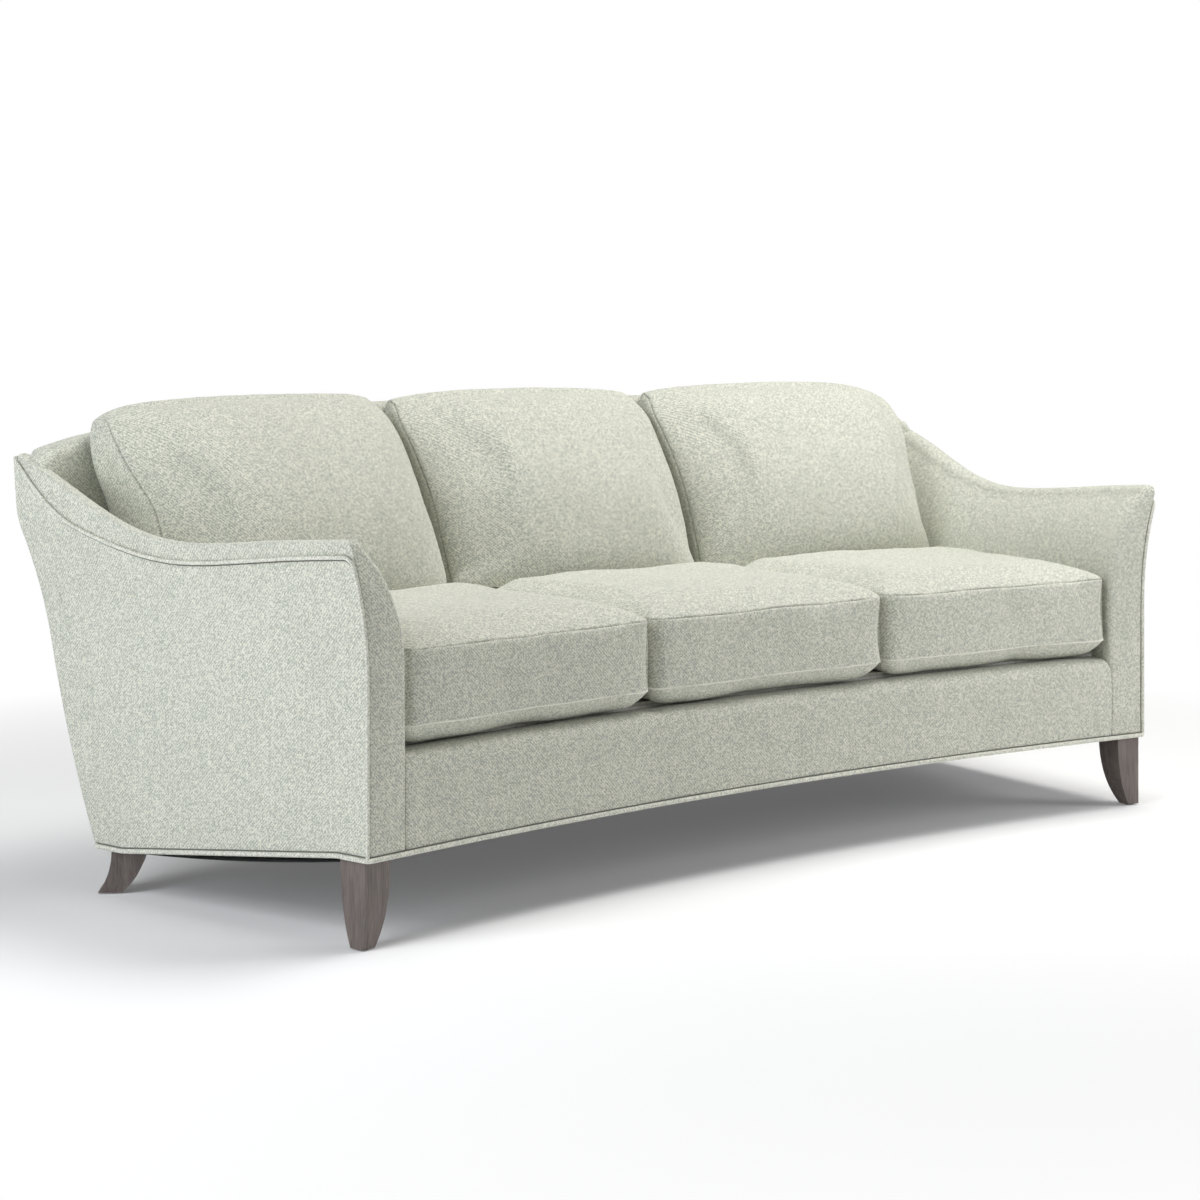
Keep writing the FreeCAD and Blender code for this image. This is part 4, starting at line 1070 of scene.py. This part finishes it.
def roundedSquare(u, v, halfU, halfV, r):
    # maps the square's rings to rounded rectangles, all from one centre
    s = np.maximum(np.abs(u), np.abs(v))
    safe = np.maximum(s, 1e-9)
    du, dv = u / safe, v / safe
    x, y = du * halfU, dv * halfV
    ax, ay = np.abs(x) - (halfU - r), np.abs(y) - (halfV - r)
    inCorner = (ax > 0) & (ay > 0)
    # squeeze corner points onto the arc
    t = np.where(ax >= ay, np.clip(ay / r, 0, 1), 2 - np.clip(ax / r, 0, 1)) / 2
    ang = t * math.pi / 2
    cx = np.sign(x) * (halfU - r + r * np.cos(ang))
    cy = np.sign(y) * (halfV - r + r * np.sin(ang))
    x = np.where(inCorner, cx, x)
    y = np.where(inCorner, cy, y)
    return x * s, y * s, s


def buildSeat(place, turn):
    look = seatLook
    rearT = float(backT(look["low"], back["thick"])) - look["rearGap"]
    midT = rearT / 2
    near = np.array([0.0, 0.006, 0.014, 0.028])
    us = denseEnds(near, 0.05, 46)
    vs = denseEnds(near * 0.85, 0.045, 54)
    ws = np.array([-1, -0.97, -0.92, -0.8, -0.5, -0.2, 0.1, 0.4, 0.65, 0.85, 0.93, 0.975, 1.0])
    prm, faces = boxGrid(us, vs, ws)
    u, v, w = prm.T
    halfV = rearT / 2 - look["start"]
    halfU = (seatAngle / 2) * (plan["radius"] + midT) - look["gap"] - look["start"]
    x, y, s = roundedSquare(u, v, halfU, halfV, look["corner"])
    t = midT + y
    angle = x / (plan["radius"] + midT)
    middle = (look["low"] + look["high"]) / 2
    half = (look["high"] - look["low"]) / 2
    inward = (1 - s) * rearT / 2
    onTop, onLow = w > 0.999, w < -0.999
    under = smoothStep(t, look["rearFrom"], look["rearTo"] - look["rearFrom"])
    lift = look["rearLift"] * under
    z = middle + w * half + lift * (w + 1) / 2
    ease = look["topEase"] * (1 - under) + look["rearEase"] * under
    crown = look["crownTop"] - look["seamDrop"] - lift
    z = np.where(onTop, look["high"] + lift + crown * (1 - np.exp(-inward / ease)), z)
    fall = 1 - (1 - np.clip(inward / look["lowEase"], 0, 1)) ** 2
    z = np.where(onLow, look["low"] - look["crownLow"] * fall, z)
    pull = look["pull"] * (1 - w ** 2)
    t = t - np.sign(v) * np.where(np.abs(v) > 0.999, pull, 0) * np.where(s > 0.999, 1, 0)
    obj = addPiece("seatCushion" + place.title(), polar(t, angle + turn, z), faces, "upholstery",
                   "seat_cushion_" + place, ["seat_cover_" + place, "seat_core_" + place])
    outward(obj)
    group = obj.vertex_groups.new(name="seamHold")
    marks = []
    # a groove round the top darkened with painted shade, and a raised line round the foot lightened with a
    # painted highlight
    for face, depth, shade in ((onTop, 1.3, 1.0), (onLow, -0.6, -1.3)):
        ids = np.where(face & (s > 0.9999))[0]
        ids = ids[np.argsort(np.arctan2(v[ids], u[ids]))]
        group.add([int(i) for i in ids], 0.35, "REPLACE")
        marks.append(([np.append(ids, ids[0])], depth * look["groove"], shade))
    return finishCushion(obj, look, turn, lambda: seatFit(obj, turn, rearT), marks)


def softLimit(value, limit, ease):
    # min(value, limit) with a rounded knee
    over = (value - (limit - ease)) / ease
    return np.where(over <= 0, value, limit - ease + ease * np.tanh(over))


def seatFit(obj, turn, rearT):
    # keep the cushion inside its own place: neighbours, deck, and the back cushion that presses on it
    look = seatLook
    co = coords(obj)
    t, lateral, room = planCoords(co, turn, look["gap"])
    lateral = np.sign(lateral) * softLimit(np.abs(lateral), room, 0.006)
    t = softLimit(t, rearT, 0.004)
    t = -softLimit(-t, 0.004, 0.006)
    behind = np.clip((t - look["hangT"]) / 0.010 + 0.5, 0, 1)
    z = -softLimit(-co[:, 2], -(deckTop + 0.0004 - look["hang"] * (1 - behind)), 0.006)
    blend = smoothStep(t, look["pressT"] - 0.03, 0.03)
    pressed = softLimit(z, look["pressZ"], 0.008)
    z = z * (1 - blend) + pressed * blend
    setCoords(obj, polar(t, lateral / (plan["radius"] + t) + turn, z))


turns = {"left": -seatAngle, "centre": 0.0, "right": seatAngle}
for place, turn in turns.items():
    cushion = buildSeat(place, turn)
    declare(cushion)
    print("seat cushion", place)


backLook = {"side": [(0.584, 0.4872), (0.586, 0.508), (0.596, 0.545), (0.628, 0.640), (0.666, 0.716),
                     (0.722, 0.798), (0.770, 0.846), (0.790, 0.857)],
            "middle": [(0.507, 0.4872), (0.504, 0.512), (0.511, 0.572), (0.542, 0.665), (0.600, 0.752),
                       (0.670, 0.820), (0.738, 0.859), (0.765, 0.869)],
            "rearSide": 0.850, "rearMiddle": 0.857, "low": 0.4872, "gap": 0.0008, "start": 0.003,
            "pressure": 3.0, "cap": 0.011, "calm": 14, "flare": 0.024, "flareLow": 0.66, "rows": 52,
            "flareRise": 0.12, "pivotT": 0.68, "rearGap": 0.001, "fitGap": 0.0008, "fitTop": 0.845,
            "cornerIn": 0.016, "cornerLow": 0.80, "cornerRise": 0.05,
            "groove": 0.002, "grooveWidth": 0.0022,
            "shrink": -0.006, "slack": (0.0024, 0.16, 63.0),
            "waves": ((0.0013, 0.13, 61.0), (0.0007, 0.04, 67.0))}
# Crest heights towards a cushion's edge: lowest, rise, run.
backLook["outerCap"], backLook["innerCap"] = (0.836, 0.042, 0.07), (0.865, 0.013, 0.03)


def backLoop(share, count=(44, 12, 22, 12)):
    # (t, z) round a cushion's section: front, crest, flat rear, underside
    look = backLook
    at = np.linspace(0, 1, len(look["side"]))
    line = []
    for k in (0, 1):
        side = smoothThrough(at, [p[k] for p in look["side"]])
        middle = smoothThrough(at, [p[k] for p in look["middle"]])
        v = np.linspace(0, 1, count[0])
        line.append(side(v) * (1 - share) + middle(v) * share)
    front = list(zip(*line))
    zTop = look["rearSide"] + share * (look["rearMiddle"] - look["rearSide"])
    tTop = float(backT(zTop, back["thick"])) - look["rearGap"]
    depth, rise = tTop - front[-1][0], front[-1][1] - zTop
    radius = (depth ** 2 + rise ** 2) / (2 * depth)
    g0 = math.asin(max(-1, min(1, rise / radius)))
    turns = np.linspace(g0, math.pi, count[1])[1:]
    crest = [(tTop - radius - radius * math.cos(g), zTop + radius * math.sin(g)) for g in turns]
    tLow = float(backT(look["low"], back["thick"])) - look["rearGap"]
    low = look["low"]
    rear = [(tTop + (tLow - tTop) * f, zTop + (low - zTop) * f) for f in np.linspace(0, 1, count[2])[1:]]
    under = [(tLow + (front[0][0] - tLow) * f, low) for f in np.linspace(0, 1, count[3])[1:-1]]
    return np.array(front + crest + rear + under), count[0] + count[1] - 1 + count[2] - 1


def buildBack(place, turn):
    look = backLook
    pivot = plan["radius"] + look["pivotT"]
    half = (seatAngle / 2) * pivot - look["gap"] - look["start"]
    near = np.array([0.0, 0.010, 0.024, 0.045])
    us = denseEnds(near, 0.075, look["rows"])
    loops = []
    for u in us:
        share = max(1 - abs(u) ** 2.4, 0) ** 0.7
        loops.append((u * half, backLoop(share)[0]))
    seamCount = backLoop(0.0)[1]
    rings = []
    for k, lift in ((0.965, 0.0015), (0.9, 0.003), (0.78, 0.004), (0.6, 0.005), (0.4, 0.005), (0.2, 0.005)):
        edge = loops[-1][1]
        middle = edge.mean(0)
        rings.append((half + lift, middle + (edge - middle) * k))
    loops = [(-x, l) for x, l in rings[::-1]] + loops + rings
    flareTo = {"left": -1, "right": 1}.get(place, 0)
    rows = []
    for x, loop in loops:
        rise = np.clip((loop[:, 1] - look["flareLow"]) / look["flareRise"], 0, 1)
        ease = np.clip(flareTo * x / half, 0, 1.2) ** 4
        out = flareTo * look["flare"] * rise * rise * (3 - 2 * rise) * ease
        high = np.clip((loop[:, 1] - look["cornerLow"]) / look["cornerRise"], 0, 1)
        corner = look["cornerIn"] * high ** 2 * np.clip(np.abs(x) / half, 0, 1) ** 6
        across = x + out - np.sign(x) * corner
        rows.append(polar(loop[:, 0], across / pivot + turn, loop[:, 1]))
    verts, faces = loopSolid(rows)
    obj = addPiece("backCushion" + place.title(), verts, faces, "upholstery", "back_cushion_" + place,
                   ["back_cover_" + place, "back_core_" + place])
    outward(obj)
    n = len(loops[0][1])
    seams = [[(j * n + i) for i in range(seamCount)] for j in (len(rings), len(loops) - len(rings) - 1)]
    group = obj.vertex_groups.new(name="seamHold")
    for seam in seams:
        group.add(seam, 0.3, "REPLACE")
    group.add([int(i) for i in np.where(coords(obj)[:, 2] < 0.495)[0]], 0.9, "REPLACE")
    # the side seams are pressed in and darkened with painted shade
    return finishCushion(obj, look, turn, lambda: backFit(obj, turn, flareTo), [(seams, look["groove"], 0.8)])


def backFit(obj, turn, flareTo):
    look = backLook
    co = coords(obj)
    t, lateral, room = planCoords(co, turn, look["gap"])
    free = np.clip((co[:, 2] - look["flareLow"]) / look["flareRise"], 0, 1) * (flareTo * lateral > 0)
    lateral = np.sign(lateral) * softLimit(np.abs(lateral), room + free * look["flare"] * 1.4, 0.006)
    z = -softLimit(-co[:, 2], -look["low"], 0.005)
    # the crest falls to rounded corners, more at the sofa's ends
    edge = np.maximum(room - np.abs(lateral), 0)
    caps = [low + rise * (1 - np.exp(-edge / run)) for low, rise, run in (look["outerCap"], look["innerCap"])]
    z = softLimit(z, np.where(flareTo * lateral > 0, *caps), 0.012)
    limit = backT(np.minimum(z, look["fitTop"]), back["thick"]) - look["fitGap"]
    t = softLimit(t, limit, 0.004)
    setCoords(obj, polar(t, lateral / (plan["radius"] + t) + turn, z))


for place, turn in turns.items():
    cushion = buildBack(place, turn)
    declare(cushion)
    print("back cushion", place)

# Camera, light and floor
camera = placed("camera", bpy.data.cameras.new("camera"))
camera.location = (-3.53267, -3.60670 + shiftY, 1.03623)
camera.rotation_euler = (math.radians(90), 0, math.radians(-40.672))
camera.data.lens = 81.0
camera.data.sensor_width = 36.0
camera.data.shift_y = -0.24344
camera.data.clip_end = 100
scene.camera = camera

# Square area lamps: name, place, aim, side length, power, colour, spread in degrees.
lights = [
    ("overhead", (1.4, -0.5, 4.4), (0.5, 0, 0.3), 2.4, 168, (1, 0.99, 0.97), 180),
    ("leftHigh", (-4.0, -0.5, 3.0), (-0.5, 0, 0.4), 2.0, 80, (0.95, 0.965, 1), 180),
    ("leftNear", (-3.3, -0.3, 0.9), (-1.0, 0, 0.4), 1.2, 21, (0.87, 0.92, 1), 180),
    ("rightFront", (3.4, -3.0, 1.8), (0.6, 0, 0.4), 1.6, 54, (0.97, 0.97, 1), 180),
    ("rightFill", (-0.3, -3.2, 1.5), (1.1, 0, 0.42), 0.9, 0.9, (0.97, 0.98, 1), 44),
]
for name, place, aim, size, power, color, spreadAngle in lights:
    lamp = bpy.data.lights.new(name, "AREA")
    lamp.shape = "RECTANGLE"
    lamp.size = lamp.size_y = size
    lamp.energy = power
    lamp.color = color
    lamp.spread = math.radians(spreadAngle)
    holder = placed(name, lamp)
    holder.location = place
    holder.rotation_euler = (Vector(aim) - Vector(place)).to_track_quat("-Z", "Y").to_euler()

world = bpy.data.worlds.new("studio")
scene.world = world
world.use_nodes = True
wt = world.node_tree
wt.nodes.clear()
soft = addNode(wt, "ShaderNodeBackground", {"Color": (0.96, 0.98, 1.0), "Strength": 0.08})
white = addNode(wt, "ShaderNodeBackground", {"Color": (1, 1, 1), "Strength": 1.0})
path = wt.nodes.new("ShaderNodeLightPath").outputs
seen = mathNode(wt, "MAXIMUM", path["Is Camera Ray"], path["Is Glossy Ray"])
seen = mathNode(wt, "MAXIMUM", seen, path["Is Transmission Ray"])
mix = addNode(wt, "ShaderNodeMixShader", {0: seen, 1: soft.outputs[0], 2: white.outputs[0]})
addNode(wt, "ShaderNodeOutputWorld", {"Surface": mix.outputs[0]})

floorMesh = bpy.data.meshes.new("floor")
floorMesh.from_pydata([(-30, -30, 0), (30, -30, 0), (30, 30, 0), (-30, 30, 0)], [], [(0, 1, 2, 3)])
floor = placed("floor", floorMesh)
floorMat, ft, floorBsdf = newMaterial("paleFloor")
setInputs(ft, floorBsdf, {"Base Color": (0.93, 0.93, 0.93), "Roughness": 0.8, "Specular IOR Level": 0.1})
# seen from the camera, the floor grows brighter with distance until it is plain white
away = addNode(ft, "ShaderNodeVectorMath", {0: objectPlace(ft)}, operation="LENGTH").outputs["Value"]
farOff = ramp(ft, mathNode(ft, "DIVIDE", away, 4.0), [(0.33, 0.12), (0.62, 1.0)])
glow = ft.nodes.new("ShaderNodeEmission").outputs[0]
share = mathNode(ft, "MULTIPLY", farOff, ft.nodes.new("ShaderNodeLightPath").outputs["Is Camera Ray"])
mix = addNode(ft, "ShaderNodeMixShader", {0: share, 1: floorBsdf.outputs[0], 2: glow})
setInputs(ft, ft.nodes["Material Output"], {"Surface": mix.outputs[0]})
floorMesh.materials.append(floorMat)

scene.view_settings.view_transform = "Standard"
